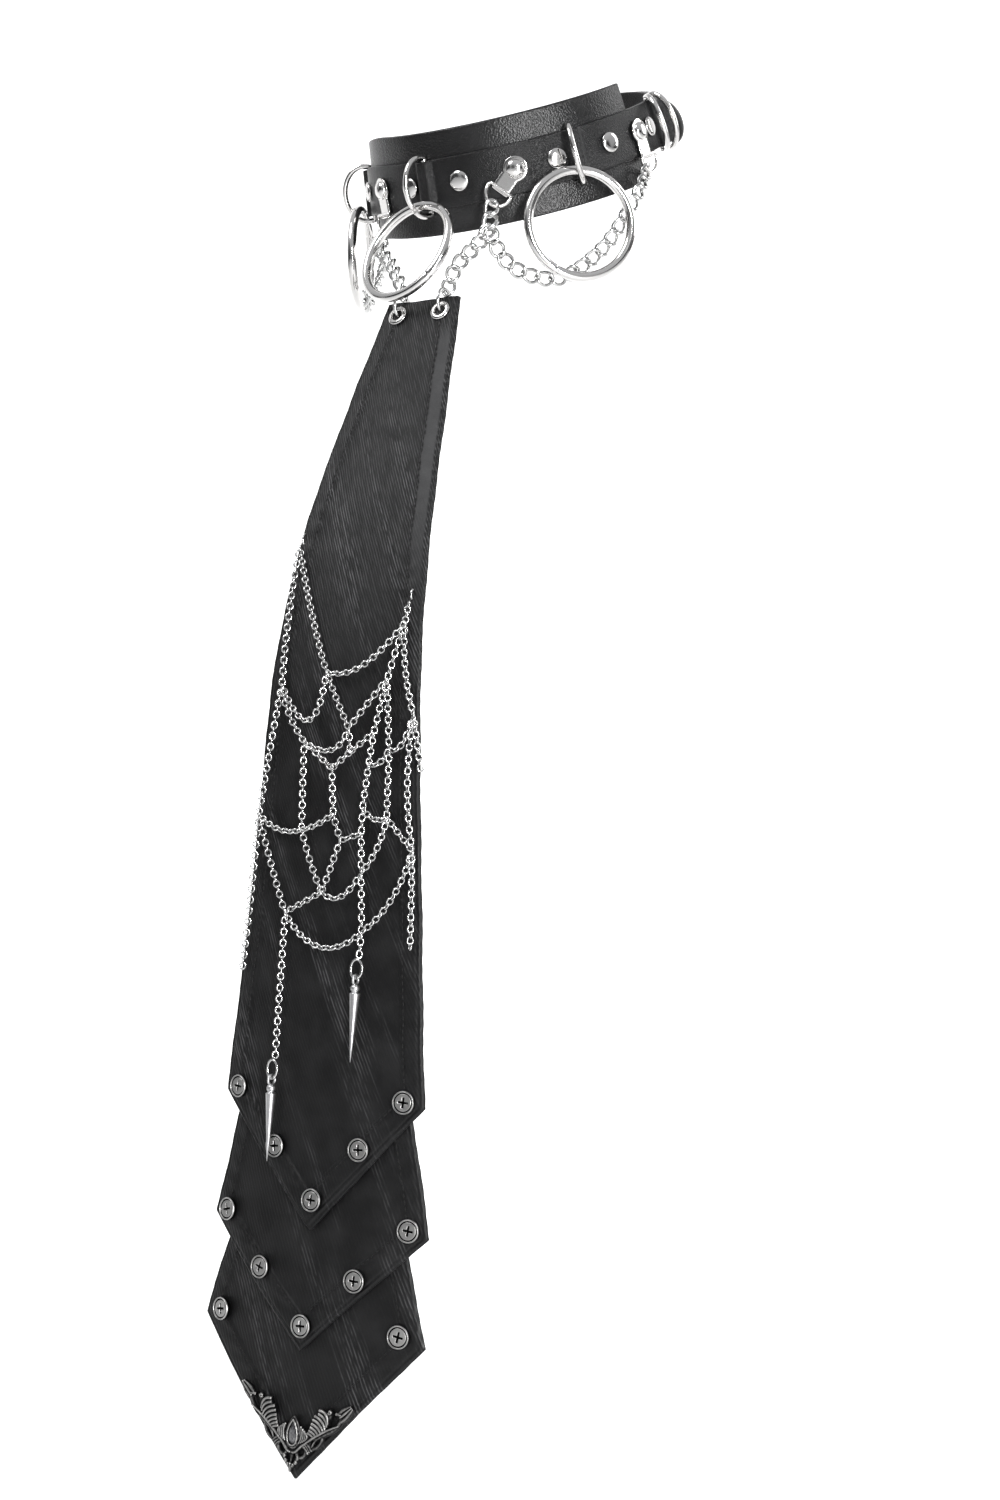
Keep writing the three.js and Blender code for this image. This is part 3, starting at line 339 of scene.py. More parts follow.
# %% Grids
def grid_faces(rows, columns, wrap_rows=False, wrap_columns=False, start=0):
    """Corner numbers of each square of a grid: (r, c), (r+1, c), (r+1, c+1), (r, c+1)."""
    row = np.arange(rows if wrap_rows else rows - 1)
    column = np.arange(columns if wrap_columns else columns - 1)
    r, c = np.meshgrid(row, column, indexing="ij")
    r1 = (r + 1) % rows
    c1 = (c + 1) % columns
    corners = [r * columns + c, r1 * columns + c, r1 * columns + c1, r * columns + c1]
    return np.stack([k.ravel() for k in corners], axis=1) + start


class Shell:
    """Grids gathered into one mesh. relief is a number for each point, and uv a pair."""

    def __init__(self):
        self.points = []
        self.faces = []
        self.relief = []
        self.uv = []
        self.count = 0

    def add(self, grid, ring=False, relief=1.0, uv=0.0):
        """The columns of a grid always join round. In a ring its rows do too."""
        rows, columns = grid.shape[:2]
        self.faces.append(grid_faces(rows, columns, ring, True, self.count))
        self.points.append(grid.reshape(-1, 3))
        self.relief.append(np.broadcast_to(relief, (rows, columns)).ravel())
        self.uv.append(np.broadcast_to(uv, (rows, columns, 2)).reshape(-1, 2))
        self.count += rows * columns
        return self


# %% Meshes and pieces
def smooth(mesh):
    mesh.polygons.foreach_set("use_smooth", np.ones(len(mesh.polygons), dtype=bool))


def mesh_of(name, shell, merge):
    """Points in millimetres become a smooth mesh in metres, with relief and UV, merged and facing out."""
    mesh = bpy.data.meshes.new(name)
    mesh.from_pydata(np.concatenate(shell.points) * MM, [], np.concatenate(shell.faces).tolist())
    relief = mesh.attributes.new("relief", "FLOAT", "POINT")
    relief.data.foreach_set("value", np.concatenate(shell.relief).astype(np.float32))
    layer = mesh.uv_layers.new(name="UVMap")
    corner = np.empty(len(mesh.loops), dtype=np.int32)
    mesh.loops.foreach_get("vertex_index", corner)
    layer.data.foreach_set("uv", np.concatenate(shell.uv)[corner].astype(np.float32).ravel())
    work = bmesh.new()
    work.from_mesh(mesh)
    bmesh.ops.remove_doubles(work, verts=work.verts, dist=merge)
    bmesh.ops.recalc_face_normals(work, faces=work.faces)
    work.to_mesh(mesh)
    work.free()
    smooth(mesh)
    return mesh


def build(name, shell, material, node=None, body="necktie", merge=1e-6):
    """A piece that rides on its body, takes its finish from a slot, and may stand for a node."""
    mesh = mesh_of(name, shell, merge)
    mesh.materials.append(material)
    piece = linked(name, mesh)
    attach(piece, body)
    if node:
        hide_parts(node)
    return piece


# %% [markdown]
# Two ways to sweep
#
# Wire, lathe work and straps are all a profile carried along a path. `wire_loop` carries a circle round a
# closed path, and `turned` carries a profile round an axis. Both face the way the CAD does: out of the
# work is -Y.

# %% Sweeps
def unit(vectors):
    """Vectors made one long."""
    return vectors / np.linalg.norm(vectors, axis=-1, keepdims=True)


def whole_turn(count):
    """Angles of a whole turn in equal steps."""
    return np.linspace(0, 2 * np.pi, count, endpoint=False)


def wire_loop(path, normal, radius, sides):
    """A circle carried round a closed path: centre + r (cos a * side + sin a * rise), where side is square to
    the path and the normal, and rise to the path and side."""
    ahead = unit(np.roll(path, -1, axis=0) - np.roll(path, 1, axis=0))
    side = unit(np.cross(ahead, normal))
    rise = np.cross(side, ahead)
    angle = whole_turn(sides)[:, None]
    radius = np.broadcast_to(radius, len(path))[:, None, None]
    return path[:, None] + radius * (np.cos(angle) * side[:, None] + np.sin(angle) * rise[:, None])


def turned(profile, steps=48):
    """A profile of [radius, height] pairs carried round the -Y axis: (r cos a, -h, r sin a)."""
    radius, height = np.asarray(profile, dtype=float).T[:, :, None]
    angle = whole_turn(steps)
    x = radius * np.cos(angle)
    return np.stack([x, np.broadcast_to(-height, x.shape), radius * np.sin(angle)], axis=-1)


def rounded(points, passes=2, closed=True):
    """Corners cut to a quarter and three quarters of each side, again and again, round a path."""
    points = np.asarray(points, dtype=float)
    for _ in range(passes):
        after = np.roll(points, -1, axis=0)
        pairs = np.stack([0.75 * points + 0.25 * after, 0.25 * points + 0.75 * after], axis=1)
        points = pairs.reshape(-1, points.shape[-1])
        if not closed:
            points = points[:-2]
    return points


def rounded_profile(corners, passes=2):
    """A profile with its inner corners rounded and its two ends kept."""
    corners = np.asarray(corners, dtype=float)
    inner = rounded(corners, passes, closed=False)
    return np.concatenate([corners[:1], inner, corners[-1:]])


def moved(points, matrix):
    """Points placed by a 3 by 4 matrix."""
    return points @ matrix[:, :3].T + matrix[:, 3]


def smoothstep(value, low, high):
    """Cubic ease from 0 at low to 1 at high."""
    share = np.clip((value - low) / (high - low), 0, 1)
    return share * share * (3 - 2 * share)


# %% [markdown]
# The collar's cone
#
# The collar is a band of a cone that leans forward, with its lower edge wider than its upper, and its right
# end, towards -X, droops a little. Every piece of hardware is placed by an angle round it, a radius and a
# height, exactly as the solids are.

# %% Places on the collar
GAP = 0.3
LEAN = np.radians(25.0)
FLARE = np.radians(8.0)
BAND_RADIUS = 63.7
BAND_WALL = 2.0
BAND_HALF = 21.0
BAND_EDGE = 0.7
BAND_ARC = 84.0
DROOP = 6.0
DROOP_ANGLES = (30, 85)
STRAP_INNER = BAND_RADIUS + GAP + 0.1
STRAP_WALL = 1.6
STRAP_OUTER = STRAP_INNER + STRAP_WALL
STRAP_HALF = 10.0
STRAP_EDGE = 0.5
RING_WIRE = 2.3
BAR_RADIUS = BAND_RADIUS + GAP + RING_WIRE / 2
HUMP = BAR_RADIUS + RING_WIRE / 2 + GAP - STRAP_INNER
HUMP_ANGLES = (1.8, 3.9)
LEANING = np.array([[1, 0, 0], [0, np.cos(LEAN), -np.sin(LEAN)], [0, np.sin(LEAN), np.cos(LEAN)]])


def on_collar(at, radius, height):
    """A point of the cone: radius less height times the flare's slope, turned to the angle, lowered where the
    band droops towards its right end, and then leant."""
    at, radius, height = np.broadcast_arrays(at, radius, height)
    here = radius - height * np.tan(FLARE)
    angle = np.radians(at)
    droop = DROOP * smoothstep(-at, *DROOP_ANGLES)
    return np.stack([here * np.sin(angle), -here * np.cos(angle), height - droop], axis=-1) @ LEANING.T


def collar_seat(at, radius, height=0.0):
    """The matrix of a place on the collar: X along the strap, -Y out of it, Z up the cone."""
    angle = np.radians(at)
    along = np.array([np.cos(angle), np.sin(angle), 0])
    up = np.array([-np.sin(FLARE) * np.sin(angle), np.sin(FLARE) * np.cos(angle), np.cos(FLARE)])
    basis = LEANING @ np.stack([along, np.cross(up, along), up], axis=1)
    return np.column_stack([basis, on_collar(at, radius, height)])


def about(axis, degrees):
    """A turn about X, Y or Z."""
    c, s = np.cos(np.radians(degrees)), np.sin(np.radians(degrees))
    return {
        "x": np.array([[1, 0, 0], [0, c, -s], [0, s, c]]),
        "y": np.array([[c, 0, s], [0, 1, 0], [-s, 0, c]]),
        "z": np.array([[c, -s, 0], [s, c, 0], [0, 0, 1]]),
    }[axis]


def swung(matrix, axis, degrees):
    """A place turned about one of its own axes."""
    return np.column_stack([matrix[:, :3] @ about(axis, degrees), matrix[:, 3]])


# %% [markdown]
# The band and the strap
#
# Both are a flat section with soft edges carried round the cone. The section is traced once, as across and
# depth, and the whole grid is the section times the stations. The band's outer face gets shallow upright
# creases at its right end, where it is bent.

# %% Band and strap
def flat_section(half, wall, edge, count):
    """A strap's closed section as (across, depth), from -half to half, with corners of the edge's radius."""
    corner = np.linspace(0, np.pi / 2, 5)[1:]
    run = np.linspace(-half + edge, half - edge, count)
    outer = np.stack([run, np.zeros(count)], axis=1)
    right = np.stack([half - edge + edge * np.sin(corner), edge * (np.cos(corner) - 1)], axis=1)
    lower = right[::-1] * [1, -1] - [0, wall]
    inner = (outer * [1, -1] - [0, wall])[::-1]
    return np.concatenate([outer, right, lower, inner, lower[::-1] * [-1, 1], right[::-1] * [-1, 1]])


def closed_sweep(grid):
    """A swept strip closed at both ends by drawing its first and last section together in steps."""
    caps = []
    for section in (grid[0], grid[-1]):
        middle = section.mean(axis=0)
        caps.append(middle + (section - middle) * np.array([0.0, 0.5, 0.97])[:, None, None])
    return np.concatenate([caps[0], grid, caps[1][::-1]])


def creases(at, height):
    """Depth of the upright creases: two sines round the band, bent by height, near the right end only."""
    wave = np.sin(at * 1.9 + 0.6 * np.sin(height * 0.13)) + 0.6 * np.sin(at * 3.7 + height * 0.05)
    return -0.22 * (1 + wave) * smoothstep(-at, 62, 70) * (1 - smoothstep(-at, 82, 84))


def add_band():
    at = np.linspace(-BAND_ARC, BAND_ARC, 281)[:, None]
    across, depth = flat_section(BAND_HALF, BAND_WALL, BAND_EDGE, 30).T
    outside = (depth > -0.4 * BAND_WALL) * (np.abs(across) < BAND_HALF - 0.5)
    grid = on_collar(at, BAND_RADIUS + depth + outside * creases(at, across), across)
    return build("band", Shell().add(closed_sweep(grid)), SMOOTH, "collar_band")


BARS = {"front": -5.0, "left": 53.3, "right": -65.0, "first": 101.2, "second": 104.4}


def strap_lift(at):
    """How far the strap rises over the nearest D-ring's bar."""
    nearest = np.min([np.abs(at - bar) for bar in BARS.values()], axis=0)
    return HUMP * (1 - smoothstep(nearest, *HUMP_ANGLES))


def add_strap():
    at = np.linspace(-180, 180, 601)[:-1, None]
    across, depth = flat_section(STRAP_HALF, STRAP_WALL, STRAP_EDGE, 14).T
    grid = on_collar(at, STRAP_OUTER + depth + strap_lift(at), across)
    return build("strap", Shell().add(grid, ring=True), STRAP_LEATHER, "collar_strap")


print("band faces:", len(add_band().data.polygons))
print("strap faces:", len(add_strap().data.polygons))

# %% [markdown]
# The strap's tail
#
# Past the closure the strap's loose end bulges out and then lies flat round the back. A table gives its
# radius at a few angles, and a smooth curve through them carries the strap's section.

# %% Tail
TAIL = [(108.9, 67), (109.6, 68.2), (110.6, 71.2), (111.8, 73.4), (113.2, 74), (114.8, 73.4), (116.4, 71.2),
        (118.2, 68.2), (120, 67), (126, 67), (138, 67), (150, 67), (156, 67)]
TAIL_FLAT = 67.0
TAIL_RISE = 7.0
TAIL_DROOP = 2.4
TAIL_CROWN = 0.96
TAIL_HALF = STRAP_HALF - 0.4


def distance_along(path):
    """How far along a path each of its points lies."""
    return np.concatenate([[0], np.cumsum(np.linalg.norm(np.diff(path, axis=0), axis=1))])


def curve_through(points, count):
    """A Catmull-Rom curve through the points, with knots spaced by the root of each chord, evenly spaced."""
    points = np.asarray(points, dtype=float)
    full = np.concatenate([[2 * points[0] - points[1]], points, [2 * points[-1] - points[-2]]])
    gap = np.sqrt(np.linalg.norm(np.diff(full, axis=0), axis=1))
    knot = np.concatenate([[0], np.cumsum(gap)])
    t = np.linspace(knot[1], knot[-2], 200 * (len(points) - 1) + 1)
    i = np.clip(np.searchsorted(knot, t, side="right") - 1, 1, len(points) - 1)
    p = [full[i + k] for k in (-1, 0, 1, 2)]
    k0, k1, k2, k3 = [knot[i + k][:, None] for k in (-1, 0, 1, 2)]
    t = t[:, None]
    a1 = ((k1 - t) * p[0] + (t - k0) * p[1]) / (k1 - k0)
    a2 = ((k2 - t) * p[1] + (t - k1) * p[2]) / (k2 - k1)
    a3 = ((k3 - t) * p[2] + (t - k2) * p[3]) / (k3 - k2)
    b1 = ((k2 - t) * a1 + (t - k0) * a2) / (k2 - k0)
    b2 = ((k3 - t) * a2 + (t - k1) * a3) / (k3 - k1)
    curve = ((k2 - t) * b1 + (t - k1) * b2) / (k2 - k1)
    length = distance_along(curve)
    even = np.linspace(0, length[-1], count)
    return np.stack([np.interp(even, length, axis) for axis in curve.T], axis=1)


def add_tail():
    """The path's rise over the flat radius shrinks like a circle towards the strap's edges, so it bulges."""
    flat = np.array([[r * np.sin(np.radians(a)), -r * np.cos(np.radians(a))] for a, r in TAIL])
    path = curve_through(flat, 220)
    radius = np.linalg.norm(path, axis=1)[:, None]
    rise = np.clip(radius - TAIL_FLAT, 0, None)
    across, depth = flat_section(TAIL_HALF, STRAP_WALL, STRAP_EDGE, 20).T
    crowned = TAIL_FLAT + rise * np.sqrt(1 - (TAIL_CROWN * across / TAIL_HALF) ** 2)
    spot = path[:, None] * (crowned / radius)[..., None]
    ahead = np.gradient(spot, axis=0)
    out = unit(np.stack([ahead[..., 1], -ahead[..., 0]], axis=-1))
    spot = spot + out * (depth + STRAP_WALL / 2)[None, :, None]
    up = across - TAIL_DROOP * rise / TAIL_RISE
    shrink = 1 - up * np.tan(FLARE) / radius
    grid = np.concatenate([spot * shrink[..., None], up[..., None]], axis=-1) @ LEANING.T
    return build("tail", Shell().add(closed_sweep(grid)), STRAP_LEATHER, "strap_tail")


print("tail faces:", len(add_tail().data.polygons))

# %% [markdown]
# Rings
#
# A D-ring is one wire: a straight bar under the strap and a bow in front. An O-ring is a plain ring with the
# butt joint of its two ends still visible. Each O-ring hangs inside its D-ring's bow and rides on its own
# body, so it can swing.

# %% D-rings and O-rings
D_HALF = 12.0
D_LEG = 3.0
D_REACH = 12.2
D_CORNER = 1.0
BAR_HEIGHT = -0.4
O_RADIUS = 22.0
O_WIRE = 4.0
O_GAP = GAP + 0.35
SEAM_DEPTH = 0.28
SEAM_WIDTH = 0.35


def d_path(half, reach, leg, corner):
    """A half ellipse for the bow and a straight bar on the axis, as (out, along the bar)."""
    angle = np.linspace(-np.pi / 2, np.pi / 2, 49)
    bow = np.stack([leg + (reach - leg) * np.cos(angle), half * np.sin(angle)], axis=1)
    bar = np.stack([np.zeros(25), np.linspace(half - corner, corner - half, 25)], axis=1)
    ends = [[0.3 * corner, half - 0.3 * corner], [0.3 * corner, 0.3 * corner - half]]
    return rounded(np.concatenate([bow, ends[:1], bar, ends[1:]]))


def d_ring_seat(at, swing):
    """The place of a D-ring's bar on the collar, turned by its swing."""
    return swung(collar_seat(at, BAR_RADIUS, BAR_HEIGHT), "z", swing)


def add_d_ring(name, node, at, swing):
    out, along = d_path(D_HALF, D_REACH, D_LEG, D_CORNER).T
    path = np.stack([np.zeros(len(out)), -out, along], axis=1)
    loop = moved(wire_loop(path, (1, 0, 0), RING_WIRE / 2, 20), d_ring_seat(at, swing))
    return build(name, Shell().add(loop, ring=True), NICKEL, node)


def hang_point(at, swing, low):
    """The middle of the O-ring's wire where it rests inside the D-ring's bow."""
    angle = np.radians(low)
    on_bow = np.array([0, -D_LEG - (D_REACH - D_LEG) * np.sin(angle), -D_HALF * np.cos(angle)])
    inward = unit(np.array([0, D_HALF * np.sin(angle), (D_REACH - D_LEG) * np.cos(angle)]))
    spot = on_bow + inward * ((O_WIRE + RING_WIRE) / 2 + O_GAP)
    return moved(spot, d_ring_seat(at, swing))


def add_o_ring(name, pivot, facing, lean, seam):
    """A circle in its own plane, its wire pinched by a hair at the seam's angle."""
    angle = whole_turn(240)
    path = np.stack([O_RADIUS * np.cos(angle), 0 * angle, O_RADIUS * np.sin(angle) - O_RADIUS], axis=1)
    apart = np.abs((angle - seam + np.pi) % (2 * np.pi) - np.pi) * O_RADIUS
    radius = O_WIRE / 2 - SEAM_DEPTH * np.exp(-((apart / SEAM_WIDTH) ** 2))
    place = np.column_stack([about("z", facing) @ about("x", -lean), pivot])
    shell = Shell().add(moved(wire_loop(path, (0, 1, 0), radius, 28), place), ring=True)
    return build(f"{name}_ring", shell, NICKEL, f"o_ring_{name}", body=f"{name}_ring")


RINGS = {
    "front": {"swing": -10, "facing": -9, "lean": 23, "low": 30, "seam": -0.7},
    "left": {"swing": -25, "facing": 46, "lean": 0, "low": 38, "seam": -2.05},
    "right": {"swing": 5, "facing": -66, "lean": 0, "low": 34, "seam": 2.4},
}
for name, ring in RINGS.items():
    add_d_ring(f"d_{name}", f"d_ring_{name}", BARS[name], ring["swing"])
    hang = hang_point(BARS[name], ring["swing"], ring["low"])
    add_o_ring(name, hang, ring["facing"], ring["lean"], ring["seam"])
    print(name, "ring hangs at", np.round(hang, 1), "mm")
for name, swing in {"first": -57, "second": -38}.items():
    add_d_ring(f"closure_{name}", f"closure_d_{name}", BARS[name], swing)

# %% [markdown]
# Rivets, tabs and small D-rings
#
# Rivets and domes are turned. A tab is a strip of bright metal: round where its rivet goes through, narrow at
# its neck, and rolled round the bar of its small D-ring. Its face is a height map over its outline, so that
# its edges are soft.

# %% Rivets
RIVET = rounded_profile([[0, 0], [4.2, 0], [4.2, 0.55], [3.9, 0.95], [2.8, 1.45], [1.3, 1.62], [0, 1.65]])


def add_rivet(name, node, at):
    grid = moved(turned(RIVET, 56), collar_seat(at, STRAP_OUTER + GAP))
    return build(name, Shell().add(grid), NICKEL, node)


PLAIN_RIVETS = {"front": 9, "left": 68, "right": -49, "closure": 93.6}
RING_RIVETS = {"front": -12.8, "left": 45.6, "right": -72.7}
for name, at in PLAIN_RIVETS.items():
    add_rivet(f"plain_rivet_{name}", f"rivet_{name}", at)
for name, at in RING_RIVETS.items():
    add_rivet(f"holding_rivet_{name}", f"ring_rivet_{name}", at)
print("rivets:", len(PLAIN_RIVETS) + len(RING_RIVETS))

# %% Tabs
TABS = {
    "front_left": {"at": 30, "tilt": -48, "grip": 0.1},
    "front_right": {"at": -30.5, "tilt": 8, "grip": 0.2},
    "back_left": {"at": 84.5, "tilt": -4, "grip": -0.45},
    "back_right": {"at": -86.5, "tilt": 4, "grip": 0.45},
}
TAB_HEAD = 5.2
TAB_NECK = 3.8
TAB_WALL = 1.0
TAB_DROP = 10.0
TAB_ROLL = 205
BARREL = 1.75
DOME = rounded_profile([[0, 0.4], [3.9, 0.4], [3.9, 1.3], [3.4, 2.2], [2, 3.0], [0, 3.2]])


def tab_half_width(down):
    """Half the tab's width at each distance below the rivet: a circle above, easing to the straight neck."""
    circle = np.sqrt(np.clip(TAB_HEAD**2 - np.minimum(down, 4.6) ** 2, 0, None))
    return np.maximum(circle, TAB_NECK * smoothstep(down, -1, 4.5))


def tab_body():
    """Rows run down the tab at y = -wall - depth, and then round the barrel: y = -r cos turn and
    z = -drop - r sin turn."""
    head = -TAB_HEAD * np.cos(np.linspace(0, np.pi / 2, 16))
    down = np.concatenate([head, np.linspace(0, TAB_DROP, 24)[1:]])[:, None]
    turn = np.radians(np.linspace(0, TAB_ROLL, 28)[1:])[:, None]
    half = np.concatenate([tab_half_width(down), np.full(turn.shape, TAB_NECK)])
    across, depth = flat_section(1.0, TAB_WALL, 0.28, 12).T
    radius = BARREL + depth
    y = np.concatenate([-TAB_WALL - depth + 0 * down, -radius * np.cos(turn)])
    z = np.concatenate([-down + 0 * depth, -TAB_DROP - radius * np.sin(turn)])
    return closed_sweep(np.stack([across * np.maximum(half, 0.05), y, z], axis=-1))


def add_tab(name, at, tilt):
    place = swung(collar_seat(at, STRAP_OUTER + GAP), "y", -tilt)
    shell = Shell().add(moved(tab_body(), place)).add(moved(turned(DOME), place))
    build(f"chain_tab_{name}", shell, NICKEL, f"tab_{name}")
    return place


# %% Small D-rings
SMALL_D = {"half": 5.4, "reach": 7.6, "leg": 1.2, "corner": 0.9}
SMALL_D_WIRE = 1.4


def small_d_seat(tab):
    """A small D-ring hangs plumb: X along the tab's barrel and Z as near up as that allows."""
    bar = tab[:, 0]
    up = unit(np.array([0, 0, 1.0]) - bar[2] * bar)
    centre = moved(np.array([0, -BARREL, -TAB_DROP]), tab)
    return np.column_stack([bar, np.cross(up, bar), up, centre])


def add_small_d(name, place):
    out, along = d_path(**SMALL_D).T
    path = np.stack([along, 0 * along, -out], axis=1)
    loop = moved(wire_loop(path, (0, 1, 0), SMALL_D_WIRE / 2, 14), place)
    return build(f"small_ring_{name}", Shell().add(loop, ring=True), NICKEL, f"small_d_{name}")


def grip_point(place, share):
    """Where a chain takes hold: a share of a quarter turn round the small ring's bow."""
    angle = share * np.pi / 2
    low = SMALL_D["leg"] + (SMALL_D["reach"] - SMALL_D["leg"]) * np.cos(angle)
    return moved(np.array([SMALL_D["half"] * np.sin(angle), 0, -low]), place)


grips = {}
for name, tab in TABS.items():
    small_d = small_d_seat(add_tab(name, tab["at"], tab["tilt"]))
    add_small_d(name, small_d)
    grips[name] = grip_point(small_d, tab["grip"])
    print(name, "chain grips at", np.round(grips[name], 1))

# %% [markdown]
# Places on the tie
#
# The tie leaves the collar, leans out forwards and then hangs. A short table gives how far its face stands
# out at each 50 mm of drop, and a smooth curve joins the rows. Across, the face is a shallow bow.

# %% Tie surface
FALL_START = 75.0
FALL_STEP = 50.0
REACH = np.array([69.5, 92.3, 113.0, 126.6, 132.4, 136.4, 142.0, 147.0, 153.6, 158.6, 162.6])
HALF = np.array([17.5, 24.8, 31.0, 35.2, 38.3, 41.5, 45.5, 49.4, 49.4, 49.4, 49.4])
BOW = 210.0


def tie_value(column, drop):
    """Cubic Hermite between the table's rows, each slope half the step between its neighbours."""
    full = np.concatenate([[2 * column[0] - column[1]], column, [column[-1]]])
    position = np.clip((drop - FALL_START) / FALL_STEP, 0, len(column) - 1)
    i = np.minimum(position.astype(int), len(column) - 2)
    t = position - i
    start = full[i + 1]
    end = full[i + 2]
    rise = (end - full[i]) / 2
    last = np.minimum(i + 3, len(full) - 1)
    next_rise = (full[last] - start) / 2
    a = 2 * start - 2 * end + rise + next_rise
    b = -3 * start + 3 * end - 2 * rise - next_rise
    return ((a * t + b) * t + rise) * t + start


def tie_normal(across, drop):
    """Out of the face: sideways by the bow, forwards, and up or down by the fall's slope."""
    slope = tie_value(REACH, drop + 1) - tie_value(REACH, drop - 1)
    return unit(np.stack([across / BOW, np.full(np.shape(across), -1.0), slope / 2], axis=-1))


def on_tie(across, drop, height=0.0):
    """A point a height above the front layer's face."""
    across, drop, height = [np.asarray(v, dtype=float) for v in np.broadcast_arrays(across, drop, height)]
    face = np.stack([across, across**2 / (2 * BOW) - tie_value(REACH, drop), -drop], axis=-1)
    return face + tie_normal(across, drop) * height[..., None]


def tie_seat(across, drop, height):
    """The matrix of a place on the tie: X across it, -Y out of it, Z up it."""
    out = tie_normal(np.array(float(across)), np.array(float(drop)))
    sideways = unit(np.array([1.0, 0, 0]) - out[0] * out)
    return np.column_stack([sideways, -out, np.cross(sideways, -out), on_tie(across, drop, height)])


# %% [markdown]
# The three layers
#
# Each layer widens to its corners and then narrows to a point. Its edges are folded over and stitched, so it
# is a little thicker along them, with a shallow step where the fold ends. The outline is a function of the
# drop, and the whole layer is one closed section carried down it.

# %% Layers
WALL = 1.6
LAYER_STEP = WALL + GAP + 0.45
LAYERS = {
    "front": {"top": 78, "corner": 398, "corner_half": 47.6, "tip": 446.5, "shift": -0.8, "tip_shift": 1.2},
    "middle": {"top": 352, "top_half": 30, "corner": 446, "corner_half": 51.8, "tip": 492, "shift": -1,
               "tip_shift": -1.4},
    "back": {"top": 404, "top_half": 28, "corner": 486, "corner_half": 54.2, "tip": 540, "shift": -2.7,
             "tip_shift": -2.0},
}
SIDE_HEM = 8.8
POINT_HEM = 10.0
HEM_RISE = 0.6
SEAM_INSET = 1.0
EDGE_ROUND = 0.8
FACE_SINK = 0.3
BACK_LIFT = 0.1
PANEL_COLUMNS = 121
ROW_STEP = 1.2
POINT_ROWS = 76
UV_PER_MM = 0.01


def layer_edges(layer, drop):
    """The left and right edge at each drop."""
    corner = layer["corner"]
    if "top_half" in layer:
        share = (drop - layer["top"]) / (corner - layer["top"])
        upper = layer["top_half"] + (layer["corner_half"] - layer["top_half"]) * share
    else:
        upper = np.minimum(tie_value(HALF, drop), layer["corner_half"])
    down = np.clip((drop - corner) / (layer["tip"] - corner), 0, 1)
    lower = layer["corner_half"] + (0.5 - layer["corner_half"]) * down
    half = np.where(drop > corner, lower, upper)
    above = layer["shift"] * (drop - layer["top"]) / (corner - layer["top"])
    below = layer["shift"] + (layer["tip_shift"] - layer["shift"]) * down
    shift = np.where(drop > corner, below, above)
    fade = np.clip((layer["tip"] - drop) / 8, 0, 1)
    left = 0.16 * np.sin(0.21 * drop) + 0.07 * np.sin(0.87 * drop + 1)
    right = 0.16 * np.sin(0.19 * drop + 2) + 0.07 * np.sin(0.93 * drop)
    return shift - half + left * fade, shift + half + right * fade


def edge_distances(layer, across, drop):
    """Distances to the nearer side, to the right side, and to the slanted edges of the point."""
    left, right = layer_edges(layer, np.minimum(drop, layer["corner"]))
    middle = (left + right) / 2
    slope = layer["corner_half"] / (layer["tip"] - layer["corner"])
    reach = (layer["tip"] - drop) * slope
    point = (reach - np.abs(across - middle)) / np.hypot(slope, 1)
    return np.minimum(across - left, right - across), right - across, point


def leather_relief(layer, across, drop):
    """Height of the face: the folded hem's rise, a groove beside its fold and a groove under its stitches,
    puckers along the hem, and a slow, slight ripple. It falls to nothing at the rounded edge."""
    side, _, point = edge_distances(layer, across, drop)
    inside = np.minimum(side - SIDE_HEM, point - POINT_HEM)
    hem = HEM_RISE * (1 - smoothstep(inside, -0.35, 0.3))
    seam = -0.22 * np.exp(-(((inside + SEAM_INSET) / 0.5) ** 2))
    fold = -0.3 * np.exp(-(((np.minimum(side, point) - 1.8) / 0.5) ** 2))
    pucker = 0.16 * np.sin(drop * 0.83 + 1.7 * np.sin(across * 0.21)) * np.exp(-(((inside + 2.5) / 2.6) ** 2))
    ripple = 0.16 * np.sin(drop * 0.09 + across * 0.12) * np.sin(across * 0.07 + 1.3)
    ripple = ripple + 0.1 * np.sin(drop * 0.31 - across * 0.17) * np.sin(drop * 0.05 + across * 0.2)
    return (hem + seam + fold + pucker + ripple) * smoothstep(np.minimum(side, point), 0, 1.2)


def facing_share(layer, across, drop):
    """1 on the plain strip between the fold and the seam of the right side, near the top, else 0."""
    _, right, _ = edge_distances(layer, across, drop)
    strip = smoothstep(right, 1.9, 2.4) * (1 - smoothstep(right, SIDE_HEM - 1.5, SIDE_HEM - 0.9))
    # The fade down the tie also fades the strip's painted sheen.
    return strip * (1 - smoothstep(drop, 150, 215)) * smoothstep(drop, 88, 100)


# %% Panels
def layer_rows(layer):
    """The drops of a panel's rows: even steps to the corners, and then to the tip."""
    count = int((layer["corner"] - layer["top"]) / ROW_STEP)
    upper = np.linspace(layer["top"], layer["corner"], count)[:-1]
    return np.concatenate([upper, np.linspace(layer["corner"], layer["tip"], POINT_ROWS)])


def doubled_ends(rows):
    """Rows with the first and the last twice, for the points that close a panel's ends."""
    return np.concatenate([rows[:1], rows, rows[-1:]])


